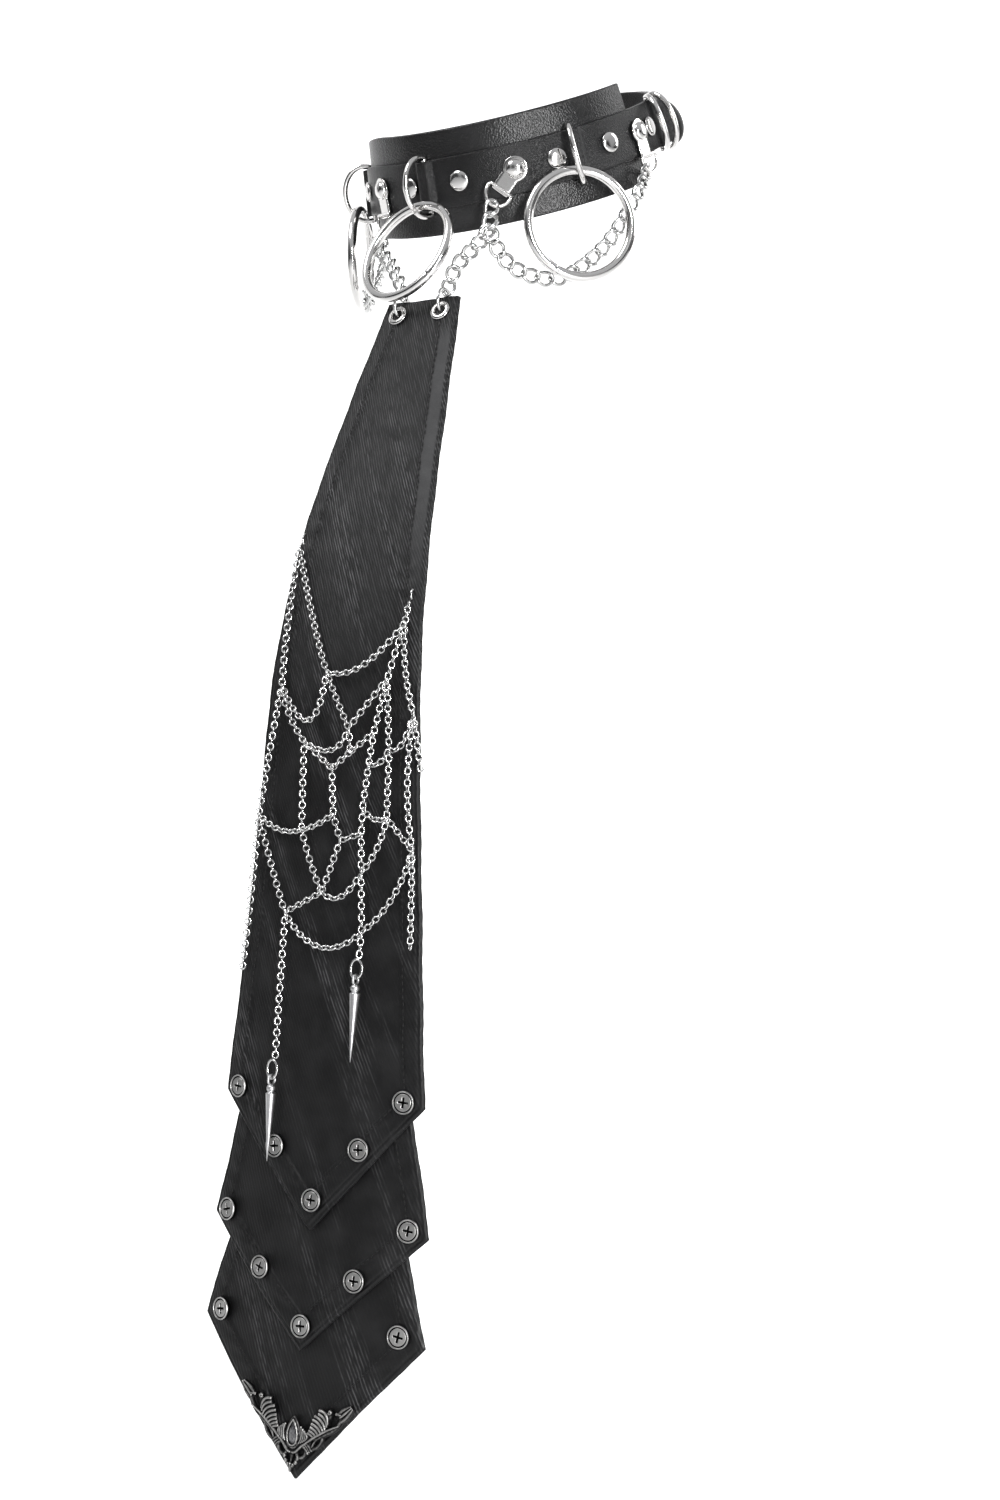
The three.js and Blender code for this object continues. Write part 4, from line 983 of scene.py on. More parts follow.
def panel_shell(layer, rows, face, has_facing):
    """Each row runs over the face and back behind it. Its edges are half circles as thick as the wall: the
    face and the back draw together by wall / 2 * (1 - sqrt(1 - s^2)), s being 1 at the very edge."""
    left, right = [edge[:, None] for edge in layer_edges(layer, rows)]
    half = (right - left) / 2
    even = np.linspace(-1, 1, PANEL_COLUMNS)
    share = 0.35 * np.sin(even * np.pi / 2) + 0.65 * even
    across = (left + right) / 2 + share * half
    drop = np.broadcast_to(rows[:, None], across.shape)
    rim = WALL / 2 * (1 - np.sqrt(1 - np.clip(1 - half * (1 - np.abs(share)) / EDGE_ROUND, 0, 1) ** 2))
    front = on_tie(across, drop, face - FACE_SINK + leather_relief(layer, across, drop) - rim)
    back = on_tie(across, drop, face - WALL + BACK_LIFT + rim)
    plain = facing_share(layer, across, drop) * has_facing
    uv = np.stack([across, drop], axis=-1) * UV_PER_MM
    grid = doubled_ends(np.concatenate([front, back[:, ::-1]], axis=1))
    grid[0] = grid[0].mean(axis=0)
    grid[-1] = grid[-1].mean(axis=0)
    relief = doubled_ends(np.concatenate([plain, 0 * plain], axis=1))
    return Shell().add(grid, relief=relief, uv=doubled_ends(np.concatenate([uv, uv[:, ::-1]], axis=1)))


def flat_size(layer, rows):
    """A layer laid flat: its greatest width, its length down the face, and the area between its edges."""
    left, right = layer_edges(layer, rows)
    width = right - left
    down_face = np.linalg.norm(np.diff(on_tie(0, rows), axis=0), axis=1)
    area = ((width[1:] + width[:-1]) / 2 * down_face).sum()
    return width.max(), down_face.sum(), area


for place, (name, layer) in enumerate(LAYERS.items()):
    shell = panel_shell(layer, layer_rows(layer), -place * LAYER_STEP, name == "front")
    build(f"{name}_panel", shell, RIBBED, f"tie_{name}_layer", merge=1e-7)

# %% [markdown]
# Stitches
#
# The hems are sewn with black thread. A stitch is a short bead of thread, round in section and pointed at its
# ends, and a few hundred of them are made at once: each seam is cut into equal steps, and each step is one.
# Then each layer's width, length and area laid flat are worked out.

# %% Stitches
STITCH_PITCH = 2.6
STITCH_SHARE = 0.74
STITCH_RADIUS = 0.3
STITCH_RISE = 0.12
THREAD = Material("black thread", Roughness=0.6, Specular_IOR_Level=0.15)
fibre = THREAD.noise(THREAD.place(), 1500.0)
THREAD.set("Base Color", THREAD.mix(fibre, (0.003, 0.003, 0.003), (0.016, 0.016, 0.016)))


def seams(layer):
    """Each seam as (across, drop) rows: down both sides, and along both slanted edges to the point."""
    corner, tip = layer["corner"], layer["tip"]
    side_inset = SIDE_HEM - SEAM_INSET
    slope = layer["corner_half"] / (tip - corner)
    inset = (POINT_HEM - SEAM_INSET) * np.hypot(slope, 1)
    turn = corner - (inset - side_inset) / slope
    down = np.linspace(layer["top"] + 4, turn, 400)
    left, right = layer_edges(layer, down)
    paths = [np.stack([left + side_inset, down], axis=1), np.stack([right - side_inset, down], axis=1)]
    down = np.linspace(turn, tip - inset / slope, 200)
    left, right = layer_edges(layer, np.minimum(down, corner))
    low = np.clip((down - corner) / (tip - corner), 0, 1)
    middle = (left + right) / 2 * (1 - low) + layer["tip_shift"] * low
    reach = (tip - down) * slope - inset
    return paths + [np.stack([middle - reach, down], axis=1), np.stack([middle + reach, down], axis=1)]


def stitch_grids(path, height):
    """Beads along a seam: points p + r (cos a * side + sin a * out), with r like half an ellipse's height."""
    length = distance_along(path)
    start = np.arange(int(length[-1] / STITCH_PITCH)) * STITCH_PITCH
    run = start[:, None] + np.linspace(0, STITCH_SHARE * STITCH_PITCH, 5)
    across, drop = [np.interp(run, length, column) for column in path.T]
    spine = on_tie(across, drop, height)
    out = tie_normal(across, drop)
    ahead = unit(spine[:, -1:] - spine[:, :1])
    side = unit(np.cross(ahead, out))
    angle = whole_turn(6)[:, None]
    radius = STITCH_RADIUS * np.array([0.05, 0.85, 1.0, 0.85, 0.05])[None, :, None, None]
    return spine[:, :, None] + radius * (np.cos(angle) * side[:, :, None] + np.sin(angle) * out[:, :, None])


def add_stitches(name, layer, face):
    shell = Shell()
    for path in seams(layer):
        rise = leather_relief(layer, path[:, 0], path[:, 1]).mean()
        for grid in stitch_grids(path, STITCH_RISE + rise - FACE_SINK + face):
            shell.add(grid)
    return build(f"{name}_stitches", shell, THREAD.data)


# %% Sheets
for place, (name, layer) in enumerate(LAYERS.items()):
    stitches = add_stitches(name, layer, -place * LAYER_STEP)
    width, length, area = flat_size(layer, layer_rows(layer))
    print(name, "layer: width", round(width, 1), "length", round(length, 1), "area", round(area))
    width * MM
    length * MM
    area * MM * MM

# %% [markdown]
# Eyelets and jump rings
#
# The tie hangs from two eyelets near its top corners. A jump ring goes through each, and the curb chain's
# last link through that. The chain web hangs from two small rings through the leather in the same way.

# %% Eyelets, jump rings and anchors
EYELET_REAR = -WALL - GAP - 0.2
EYELET = [[2.2, EYELET_REAR - 0.6], [3.9, EYELET_REAR - 0.6], [3.9, EYELET_REAR], [2.8, EYELET_REAR],
          [2.8, GAP + 0.2], [4.4, GAP + 0.2], [4.3, 0.9], [3.6, 1.35], [2.8, 1.35], [2.2, 0.9]]
EYELET_ACROSS = 10.5
EYELET_DROP = 84
JUMP_RADIUS = 5.2
JUMP_WIRE = 1.4
ANCHORS = {"left": (28.4, 206.9), "right": (-29.2, 182.1)}
ANCHOR_RADIUS = 2.3
ANCHOR_WIRE = 0.9
ANCHOR_RISE = 3.7


def ring_grid(radius, wire, matrix, sides, steps):
    """A ring in the YZ plane of its place."""
    angle = whole_turn(steps)
    path = np.stack([0 * angle, radius * np.cos(angle), radius * np.sin(angle)], axis=1)
    return moved(wire_loop(path, (1, 0, 0), wire / 2, sides), matrix)


def lifted(matrix, along):
    """A place moved by an amount along its own axes."""
    return np.column_stack([matrix[:, :3], moved(np.asarray(along, dtype=float), matrix)])


ring_tops = {}
for side, sign in {"left": 1, "right": -1}.items():
    seat = tie_seat(sign * EYELET_ACROSS, EYELET_DROP, 0)
    shell = Shell().add(moved(turned(rounded(EYELET)), seat), ring=True)
    build(f"grommet_{side}", shell, NICKEL, f"eyelet_{side}")
    jump = ring_grid(JUMP_RADIUS, JUMP_WIRE, lifted(seat, (0, WALL / 2, JUMP_RADIUS)), 14, 56)
    build(f"top_link_{side}", Shell().add(jump, ring=True), SILVER, f"jump_ring_{side}")
    ring_tops[side] = moved(np.array([0, WALL / 2, 2 * JUMP_RADIUS]), seat)
    print(side, "jump ring's top:", np.round(ring_tops[side], 1))
for side, (across, drop) in ANCHORS.items():
    seat = tie_seat(across, drop - ANCHOR_RISE, -WALL / 2)
    shell = Shell().add(ring_grid(ANCHOR_RADIUS, ANCHOR_WIRE, seat, 12, 40), ring=True)
    build(f"web_ring_{side}", shell, SILVER, f"web_anchor_{side}")

# %% [markdown]
# Curb chains
#
# A curb chain's links are ovals twisted a quarter turn from end to end, so that they lie flat when they
# interlock. Each link's centre line is an ellipse whose plane turns with the distance along it. The chains
# follow the same routes as the solids, from joint to joint, in wire a little heavier than theirs.

# %% Curb chains
LINK_PITCH = 6.1
LINK_WIDTH = 7.0
LINK_WIRE = 1.6
LINK_BITE = 0.4
LINK_HOOK = 1.6
LINK_TWIST = np.radians(40.0)
LINK_SQUARENESS = 0.9
SWAGS = {
    "left": [(25.4, -59.5, -49), (27.6, -57.5, -57.5), (32, -54, -64.5), (39, -46.5, -68.5),
             (46.7, -38.5, -68.5), (54.8, -30, -61.2), (61, -23.5, -52.5), (66, -18.4, -41.5),
             (69.4, -12, -30)],
    "right": [(-36.5, -55.5, -50), (-40, -54, -62), (-45, -48, -70.5), (-49, -39.5, -69.5),
              (-50.5, -32, -60), (-54, -23, -50), (-60, -14, -44), (-68, -3.2, -37.5)],
}
BRANCHES = {
    "left": [(25.4, -59.5, -49), (21.5, -65, -58), (15, -68.5, -65)],
    "right": [(-32, -57.5, -50), (-24.7, -60, -56.6), (-18, -64.5, -64)],
}


def link_grid(centre, along, face, inside):
    """(L cos t, W sin t) with the W part turned about the length by twist * cos t, carried by a circle."""
    t = whole_turn(32)
    turn = LINK_TWIST * np.cos(t)
    across = np.cross(face, along)
    oval = np.sign(np.sin(t)) * np.abs(np.sin(t)) ** LINK_SQUARENESS * (LINK_WIDTH - LINK_WIRE) / 2
    path = (centre + np.outer((inside + LINK_WIRE) / 2 * np.cos(t), along)
            + np.outer(oval * np.cos(turn), across) + np.outer(oval * np.sin(turn), face))
    normal = np.outer(np.cos(turn), face) - np.outer(np.sin(turn), across)
    return wire_loop(path, normal, LINK_WIRE / 2, 12)


def chain_links(start, route, end):
    """The links from one wire to another: centre, direction, face and inside length of each."""
    route = [np.array(point, dtype=float) for point in route]
    first = start - LINK_HOOK * unit(route[0] - start)
    last = end - LINK_HOOK * unit(route[-1] - end)
    rough = curve_through([first, *route, last], 2000)
    joints = curve_through([first, *route, last], round(distance_along(rough)[-1] / LINK_PITCH) + 1)
    run = np.diff(joints, axis=0)
    inside = np.linalg.norm(run, axis=1) - LINK_BITE
    centre = (joints[1:] + joints[:-1]) / 2
    along = unit(run)
    face = unit(centre * [1, 1, 0])
    face = unit(face - (face * along).sum(axis=1, keepdims=True) * along)
    return list(zip(centre, along, face, inside))


def add_curb_chain(side):
    """The left branch hangs from the swag's first link, so its own first link is left out."""
    start = grips[f"front_{side}"]
    swag = chain_links(start, SWAGS[side], grips[f"back_{side}"])
    branch = chain_links(start, BRANCHES[side], ring_tops[side])
    if side == "left":
        branch = branch[1:]
    shell = Shell()
    for link in swag + branch:
        shell.add(link_grid(*link), ring=True)
    print("curb chain", side, "links:", len(swag + branch))
    return build(f"curb_{side}", shell, SILVER, f"curb_chain_{side}")


for side in ["left", "right"]:
    add_curb_chain(side)

# %% [markdown]
# The web
#
# The cobweb is rolo chain: small rings, each turned square to the next. Its knots and strands are given
# across and down the tie. A strand's middle hangs below its chord like any slack chain, and the links are
# spaced evenly along it, lying just clear of the leather.

# %% Knots and strands
KNOTS = {
    "left_anchor": (28.4, 206.9), "right_anchor": (-29.2, 182.1), "a": (-27.7, 237.8), "b": (-36.4, 289),
    "c": (-5.2, 233.3), "d": (27.9, 214.8), "e": (34.8, 250.5), "f": (22.9, 236.4), "g": (7.1, 255.1),
    "h": (18.5, 257), "i": (25.5, 263.6), "j": (-14.1, 260.2), "k": (0.3, 270.7), "l": (-13, 294.7),
    "m": (2, 288.3), "n": (17, 269.1), "o": (15.3, 285.9), "p": (25.9, 289.4), "q": (36.9, 301.6),
    "r": (-19.5, 327.1), "s": (15.8, 310.8), "t": (5.9, 298.5), "u": (-1.8, 318.6), "v": (17.4, 333.3),
    "mid_bar": (8.4, 264.3), "mid_drop": (15.2, 295.6), "end_outer": (-41, 350.3), "end_short": (39, 271.5),
    "end_inner": (38.1, 339), "left_spike": (17, 342.8), "right_spike": (-19.5, 383.2),
}
STRANDS = [
    ("right_anchor", "a", 0, 0), ("right_anchor", "c", 0, 0), ("left_anchor", "d", 0, 0), ("a", "b", 0, 0),
    ("a", "c", 16.5, 4), ("a", "j", 0, -2), ("c", "d", 7, 0), ("c", "g", 0, 0), ("d", "e", 0, -1.2),
    ("d", "f", 0, 0), ("f", "g", 0, 0), ("f", "h", 0, 0), ("f", "i", 0, 0), ("j", "g", 6, 3),
    ("j", "k", 0, 0), ("k", "mid_bar", 0, 0), ("mid_bar", "h", 0, 0), ("g", "mid_bar", 0, 0),
    ("j", "l", 0, 0), ("k", "m", 0, 0), ("h", "n", 0, 0), ("n", "i", 2.5, 0), ("i", "e", 4.5, 0.5),
    ("e", "end_short", 0, 0), ("e", "q", 0, -2),
    ("n", "o", 0, 0), ("i", "p", 0, 0), ("o", "p", 2.5, 0), ("o", "mid_drop", 0, 0), ("mid_drop", "s", 0, 0),
    ("s", "v", 0, 0), ("b", "end_outer", 0, 0), ("b", "l", 3, 0), ("l", "m", 1, 0), ("l", "u", 1.5, 0),
    ("u", "s", 5.5, 0), ("b", "r", 1, 0), ("m", "t", 0, 0), ("t", "mid_drop", 0, 0), ("t", "u", 0, 0),
    ("u", "r", 0, 0), ("p", "s", 1, 1.5), ("p", "q", 0, 0), ("q", "v", 2.5, 2.5), ("v", "r", 9.5, 0),
    ("q", "end_inner", 0, 0), ("r", "right_spike", 0, 0), ("v", "left_spike", 0, 0),
]

# %% Web
ROLO_PITCH = 2.2
ROLO_WIRE = 0.72
ROLO_WIDE = 1.15
ROLO_BITE = 0.08
WEB_HEIGHT = 2.2


def rolo_links(start, end, sag, bulge):
    """A strand's joints, and the way off the leather at each link. The strand hangs by 4 t (1 - t) * sag."""
    t = np.linspace(0, 1, 400)[:, None]
    flat = np.asarray(start) * (1 - t) + np.asarray(end) * t + 4 * t * (1 - t) * [bulge, sag]
    line = on_tie(flat[:, 0], flat[:, 1], WEB_HEIGHT)
    length = distance_along(line)
    joint = np.linspace(0, length[-1], max(round(length[-1] / ROLO_PITCH), 1) + 1)
    joints = np.stack([np.interp(joint, length, axis) for axis in line.T], axis=1)
    across, drop = [np.interp((joint[1:] + joint[:-1]) / 2, length, axis) for axis in flat.T]
    return joints, tie_normal(across, drop)


def rolo_grid(joints, out):
    """Small ovals about each link's centre, (L cos t, W sin t), rolled an eighth of a turn one way and then
    the other. The wire is a circle in the oval's outward way and its normal."""
    run = np.diff(joints, axis=0)
    pitch = np.linalg.norm(run, axis=1)
    along = run / pitch[:, None]
    side = unit(np.cross(out, along))
    roll = np.radians(45.0) * (1 - 2 * (np.arange(len(run)) % 2))[:, None]
    across = np.cos(roll) * side + np.sin(roll) * out
    normal = np.cross(along, across)[:, None, None]
    cos_t, sin_t = np.cos(whole_turn(14))[:, None], np.sin(whole_turn(14))[:, None]
    angle = whole_turn(6)[:, None]
    half_long = ((pitch + ROLO_WIRE - ROLO_BITE) / 2)[:, None]
    oval = cos_t * (half_long * along)[:, None] + sin_t * (ROLO_WIDE * across)[:, None]
    outward = unit(cos_t * (ROLO_WIDE * along)[:, None] + sin_t * (half_long * across)[:, None])
    wire = ROLO_WIRE / 2 * (np.cos(angle) * outward[:, :, None] + np.sin(angle) * normal)
    centre = (joints[1:] + joints[:-1]) / 2
    return centre[:, None, None] + oval[:, :, None] + wire


def add_web():
    shell = Shell()
    for start, end, sag, bulge in STRANDS:
        for link in rolo_grid(*rolo_links(KNOTS[start], KNOTS[end], sag, bulge)):
            shell.add(link, ring=True)
    return build("web", shell, SILVER, "chain_web")


print("web faces:", len(add_web().data.polygons))

# %% [markdown]
# Spikes
#
# Two slim steel spikes hang at the ends of the web. Each has a cap, a collar and an eye, and hangs from an
# oval jump ring.

# %% Spikes
SPIKE_LENGTH = 29.5
SPIKE = rounded_profile([[0, 0], [0.16, 0.05], [2.0, 25.6], [2.05, 26.0], [1.55, 26.3], [1.3, 26.6],
                         [1.3, 26.9], [1.75, 27.2], [1.8, 28.4], [1.3, 29.2], [0.6, 29.6], [0, 29.7]], 1)
OVAL_HALF = 2.5
OVAL_TALL = 3.6
OVAL_WIRE = 1.0
OVAL_RISE = 3.5
EYE_RADIUS = 1.9
EYE_WIRE = 1.0


def add_spike(side):
    """The oval hangs from the strand's end, the eye in its lower bend, and the spike's body from the eye."""
    across, drop = KNOTS[f"{side}_spike"]
    seat = tie_seat(across, drop + GAP + OVAL_WIRE / 2 + OVAL_TALL, OVAL_RISE)
    angle = whole_turn(60)
    oval = np.stack([OVAL_HALF * np.cos(angle), 0 * angle, OVAL_TALL * np.sin(angle)], axis=1)
    shell = Shell().add(moved(wire_loop(oval, (0, 1, 0), OVAL_WIRE / 2, 14), seat), ring=True)
    build(f"oval_{side}", shell, SILVER, f"spike_ring_{side}")
    hung = lifted(seat, (0, 0, -OVAL_TALL + EYE_WIRE + GAP + 0.1 - EYE_RADIUS))
    body = turned(SPIKE, 32)[..., [0, 2, 1]] * [1, 1, -1] + [0, 0, 0.2 - EYE_RADIUS - SPIKE_LENGTH]
    shell = Shell().add(moved(body, hung)).add(ring_grid(EYE_RADIUS, EYE_WIRE, hung, 12, 36), ring=True)
    return build(f"steel_{side}", shell, STEEL, f"spike_{side}")


for side in ["left", "right"]:
    print(side, "spike faces:", len(add_spike(side).data.polygons))

# %% [markdown]
# Buttons
#
# The snap buttons along the points have a raised rim, a black groove inside it and a low crown with a cross
# pressed into it. Over a round grid, the height is the rim's and crown's profile less the cross. The height
# is painted into the mesh too, and the antique metal is dark where it is low.

# %% Buttons
BUTTONS = [
    (0, -39.5, 396, 4), (0, -17.8, 416.8, -6), (0, 1.8, 435.3, 3), (0, 21.3, 414.8, -3), (0, 38.8, 396, 5),
    (1, -43.7, 444.2, -12), (1, -22.8, 463.3, 14), (1, -0.3, 482.5, -4), (1, 22.2, 463.3, 3),
    (1, 42.9, 443.2, 6), (2, -45.5, 483, -8), (2, 41, 482.2, 10),
]
BUTTON_PROFILE = np.array([[0, 1.5], [3.15, 1.5], [3.3, 1.4], [3.4, 0.6], [3.72, 0.6], [3.8, 1.5],
                           [3.92, 1.78], [4.2, 1.8], [4.42, 1.5], [4.5, 1.0]])
BUTTON_STEPS = 72
CROSS_HALF = 0.38
CROSS_REACH = 2.0
CROSS_DEPTH = 0.8
SEAT_GAP = GAP + 0.1


def button_grid():
    """Rings out from the middle, then down the side and back under. The cross is two bars: a place is inside
    one where |x| < half and |z| < reach, or the other way round, and its sides ease down by a smooth step."""
    crown, gap, rim = np.linspace(0, 2.3, 20), np.linspace(2.3, 3.1, 4), np.linspace(3.1, 4.5, 24)
    radius = np.concatenate([crown, gap[1:], rim[1:]])
    height = np.interp(radius, *BUTTON_PROFILE.T)[:, None]
    angle = whole_turn(BUTTON_STEPS)
    x = radius[:, None] * np.cos(angle)
    z = radius[:, None] * np.sin(angle)
    upright = np.maximum(np.abs(x) - CROSS_HALF, np.abs(z) - CROSS_REACH)
    level = np.maximum(np.abs(z) - CROSS_HALF, np.abs(x) - CROSS_REACH)
    sunk = CROSS_DEPTH * (1 - smoothstep(np.minimum(upright, level), -0.12, 0.12))
    top = np.stack([x, sunk - height, z], axis=-1)
    relief = smoothstep(height - 1.6 * sunk, 1.25, 1.48)
    side = top[-1:] * [1, 0, 1] + [0, -0.15, 0]
    grid = np.concatenate([top, side, side * [0, 1, 0]])
    return grid, np.concatenate([relief, np.zeros((2, BUTTON_STEPS))])


button, button_relief = button_grid()
for number, (layer, across, drop, turn) in enumerate(BUTTONS, 1):
    seat = swung(tie_seat(across, drop, SEAT_GAP - layer * LAYER_STEP), "y", turn)
    shell = Shell().add(moved(button, seat), relief=button_relief)
    build(f"snap_{number}", shell, GUNMETAL, f"button_{number}")
print("buttons:", len(BUTTONS), "of", button.shape[0], "rings each")

# %% [markdown]
# The corner piece
#
# A pair of cast arms follows the point's edges: leaves, scrolls and ribs, in the common acanthus style, round
# a teardrop setting. Every part is a ribbon in relief: a path, a width and a height that change along it, and
# a half-round section. The other arm is the mirror image. First come the curves that the ribbons follow.

# %% Curves of the corner piece
def ribbon(path, width, height):
    """Section (w cos a, h sin a) carried along a path in the plane, closed underneath at the back."""
    ahead = unit(np.gradient(path, axis=0))
    side = np.stack([-ahead[:, 1], ahead[:, 0]], axis=1)
    angle = np.linspace(0, np.pi, 11)
    across = width[:, None] * np.cos(angle)
    up = np.broadcast_to(height * np.sin(angle) ** 0.8, across.shape)
    across = np.concatenate([across, across[:, -1:], across[:, :1]], axis=1)
    up = np.concatenate([up, np.zeros((len(path), 2))], axis=1)
    spot = path[:, None] + side[:, None] * across[..., None]
    return np.stack([spot[..., 0], -up, spot[..., 1]], axis=-1)


def arm(along, inside):
    """A place on an arm: a distance from the tip along the slanted edge, and a distance inside the edge."""
    return np.array([along - inside, along + inside]) * np.sqrt(0.5)


def bezier(*places):
    """A smooth path between control places by repeated mixing."""
    t = np.linspace(0, 1, 22)[:, None]
    levels = [np.broadcast_to(place, (len(t), 2)) for place in places]
    while len(levels) > 1:
        levels = [a * (1 - t) + b * t for a, b in zip(levels, levels[1:])]
    return levels[0]


def arm_path(*places):
    """A smooth path whose control places are all on an arm."""
    return bezier(*[arm(along, inside) for along, inside in places])


def curl(centre, start, turns, outer, inner):
    """A scroll that winds in: its radius shrinks evenly as its angle grows."""
    share = np.linspace(0, 1, 36)
    angle = np.radians(start) + 2 * np.pi * turns * share
    radius = outer + (inner - outer) * share
    return centre + np.stack([radius * np.cos(angle), radius * np.sin(angle)], axis=1)


def ellipse(along, inside, long, wide):
    """An ellipse whose longer axis follows the arm."""
    angle = np.linspace(0, 2 * np.pi, 36)
    return arm(along + long * np.cos(angle), inside + wide * np.sin(angle)).T


def taper(path, start, middle, end):
    """Half widths from start through middle to end along a path."""
    return np.interp(np.linspace(0, 1, len(path)), [0, 0.5, 1], [start, middle, end])


# %% Ribbons of one arm
LEAF_LOBES = [
    [(24.6, 2.6), (27.0, 4.6), (24.6, 8.6)], [(23.4, 2.2), (25.2, 5.2), (22.6, 9.0)],
    [(22.2, 2.0), (23.4, 5.0), (21.0, 8.4)], [(20.9, 2.0), (21.6, 4.8), (19.5, 7.6)],
    [(19.6, 2.2), (19.9, 4.6), (18.2, 6.9)], [(18.3, 2.5), (18.4, 4.4), (17.0, 6.3)],
    [(17.1, 2.9), (17.0, 4.4), (15.9, 5.9)],
]
SHELL_RIBS = [(3.9, 10.6, 17.2), (4.8, 11.0, 16.6), (5.7, 11.6, 15.9), (6.5, 12.2, 15.2)]
BEADS = [(2.3, 0.6), (4.1, 0.6), (5.8, 1.2)]


def arm_ribbons():
    """(path, half width, height) of each ribbon on one arm: first low ground, then the ribs on it."""
    made = []

    def add(path, widths, height):
        made.append((path, taper(path, *widths), height))

    add(arm_path((15.4, 4.4), (20.5, 5.8), (25.4, 5.4)), (1.6, 2.9, 2.2), 1.0)
    add(arm_path((31.0, 1.9), (34.5, 2.0), (38.6, 1.4)), (1.3, 1.9, 0.3), 1.0)
    add(bezier((3.9, 14.0), (6.2, 13.8), arm(16, 4.2)), (1.8, 2.0, 1.6), 1.0)
    add(arm_path((7.6, 3.8), (11, 4.4), (15.4, 4.2)), (0.9, 1.2, 1.5), 1.0)
    add(arm_path((16.5, 2.4), (22, 1.2), (28, -1.4), (32.4, 1.2)), (0.9, 1.15, 0.9), 1.6)
    add(arm_path((12.8, 3.5), (18, 3.0), (24, 1.9), (29.5, -0.2)), (0.7, 0.7, 0.4), 2.1)
    for lobe in LEAF_LOBES:
        add(arm_path(*lobe), (0.5, 0.82, 0.85), 2.1)
    add(arm_path((25.6, 3.0), (29.0, 6.4), (25.6, 9.4)), (0.6, 0.85, 0.8), 2.1)
    add(arm_path((26.2, 4.2), (28.2, 4.4), (29.6, 5.6)), (0.9, 0.8, 0.9), 1.5)
    add(curl(arm(29.4, 6.0), 200, 0.9, 0.75, 0.3), (0.55, 0.65, 0.7), 2.1)
    add(arm_path((31.2, 3.9), (32.4, 3.2), (33.0, 1.8)), (0.9, 0.7, 0.6), 1.9)
    add(arm_path((31.4, 0.4), (35, 0.0), (38.8, 1.0)), (0.7, 0.95, 0.4), 1.7)
    add(arm_path((32.0, 1.8), (35, 1.6), (39.0, 1.6)), (0.5, 0.7, 0.35), 2.0)
    add(arm_path((32.0, 3.2), (35, 3.6), (38.8, 2.2)), (0.7, 0.95, 0.4), 1.7)
    add(ellipse(16.6, 1.3, 3.7, 1.9), (0.75, 0.75, 0.75), 1.5)
    add(arm_path((13.4, 0.6), (17.0, 2.4), (20.2, 1.4)), (0.4, 0.55, 0.4), 1.5)
    add(arm_path((13.2, 2.4), (12.4, 0.8), (13.4, -0.4)), (0.6, 0.8, 0.6), 1.7)
    for out, low, high in SHELL_RIBS:
        add(bezier((out - 0.6, low), (out + 1.3, (low + high) / 2), (out - 0.3, high)), (0.4, 0.56, 0.6), 2.1)
    add(ellipse(8.6, 2.2, 2.4, 1.9), (0.8, 0.8, 0.8), 1.6)
    add(bezier((0.3, 6.9), (2.8, 6.6), arm(9, 4.6), arm(12.6, 3.4)), (0.6, 0.8, 0.6), 2.0)
    for step in range(3):
        places = (10.8 + step, 3.4), (11.8 + 0.9 * step, 1.2), (10.8 + 1.1 * step, -0.2)
        add(arm_path(*places), (0.4, 0.62, 0.6), 1.8)
    add(arm_path((0.6, 0.5), (3, -0.2), (6.8, 1.2)), (0.8, 0.9, 0.8), 1.2)
    for along, inside in BEADS:
        add(arm_path((along - 0.6, inside - 0.3), (along + 0.6, inside + 0.5)), (0.7, 1.0, 0.6), 1.9)
    return made


print("ribbons on an arm:", len(arm_ribbons()))

# %% Teardrop setting
SETTING_AT = 14.0
SETTING_WIRES = [(2.9, -5.4, 6.0, 0.62, 1.0), (2.3, -4.6, 5.1, 0.3, 1.9)]


def teardrop(half, bottom, top):
    """A teardrop's outline: half an ellipse below, and two bent sides meeting at the top, rounded once."""
    low = np.linspace(np.pi, 2 * np.pi, 32)
    shoulder = bottom * 0.35
    under = np.stack([half * np.cos(low), shoulder + abs(bottom) * 0.65 * np.sin(low)], axis=1)
    t = np.linspace(0, 1, 32)[1:-1, None]
    start, pull, end = np.array([half, shoulder]), np.array([half * 1.15, top * 0.35]), np.array([0, top])
    right = start * (1 - t) ** 2 + 2 * t * (1 - t) * pull + end * t**2
    return rounded(np.concatenate([under, right, [[0, top]], right[::-1] * [-1, 1]]), 1)


def in_setting(flat, height):
    """A flat outline at a height over the setting's middle: (x, -height, z)."""
    height = np.broadcast_to(height, flat.shape[:-1])
    return np.stack([flat[..., 0], -height, flat[..., 1] + SETTING_AT], axis=-1)


# %% [markdown]
# One casting
#
# Dozens of ribbons that cross look like a heap of wires, while the real piece was cast in one. So the ribbons
# are melted together on a grid of small cubes, which softens every crossing. The rubbed shine then comes from
# the mesh: a place that stands out of the mean of its neighbours is a crest, and a lower one is a hollow.

# %% One skin
MELT = 0.195
CORNER_ACROSS = -3.1
CORNER_DROP = 536.7
CORNER_TURN = 2.5
CORNER_RAISED = 2.0


def melted(piece, voxel):
    """The piece's overlapping ribbons as one skin, remade on a grid of small cubes."""
    remesh = piece.modifiers.new("melt", "REMESH")
    remesh.mode = "VOXEL"
    remesh.voxel_size = voxel * MM
    settled = piece.evaluated_get(bpy.context.evaluated_depsgraph_get())
    mesh = bpy.data.meshes.new_from_object(settled)
    piece.modifiers.clear()
    mesh.materials.clear()
    mesh.materials.append(piece.data.materials[0])
    mesh.name = piece.name
    piece.data = mesh
    smooth(mesh)
    return mesh


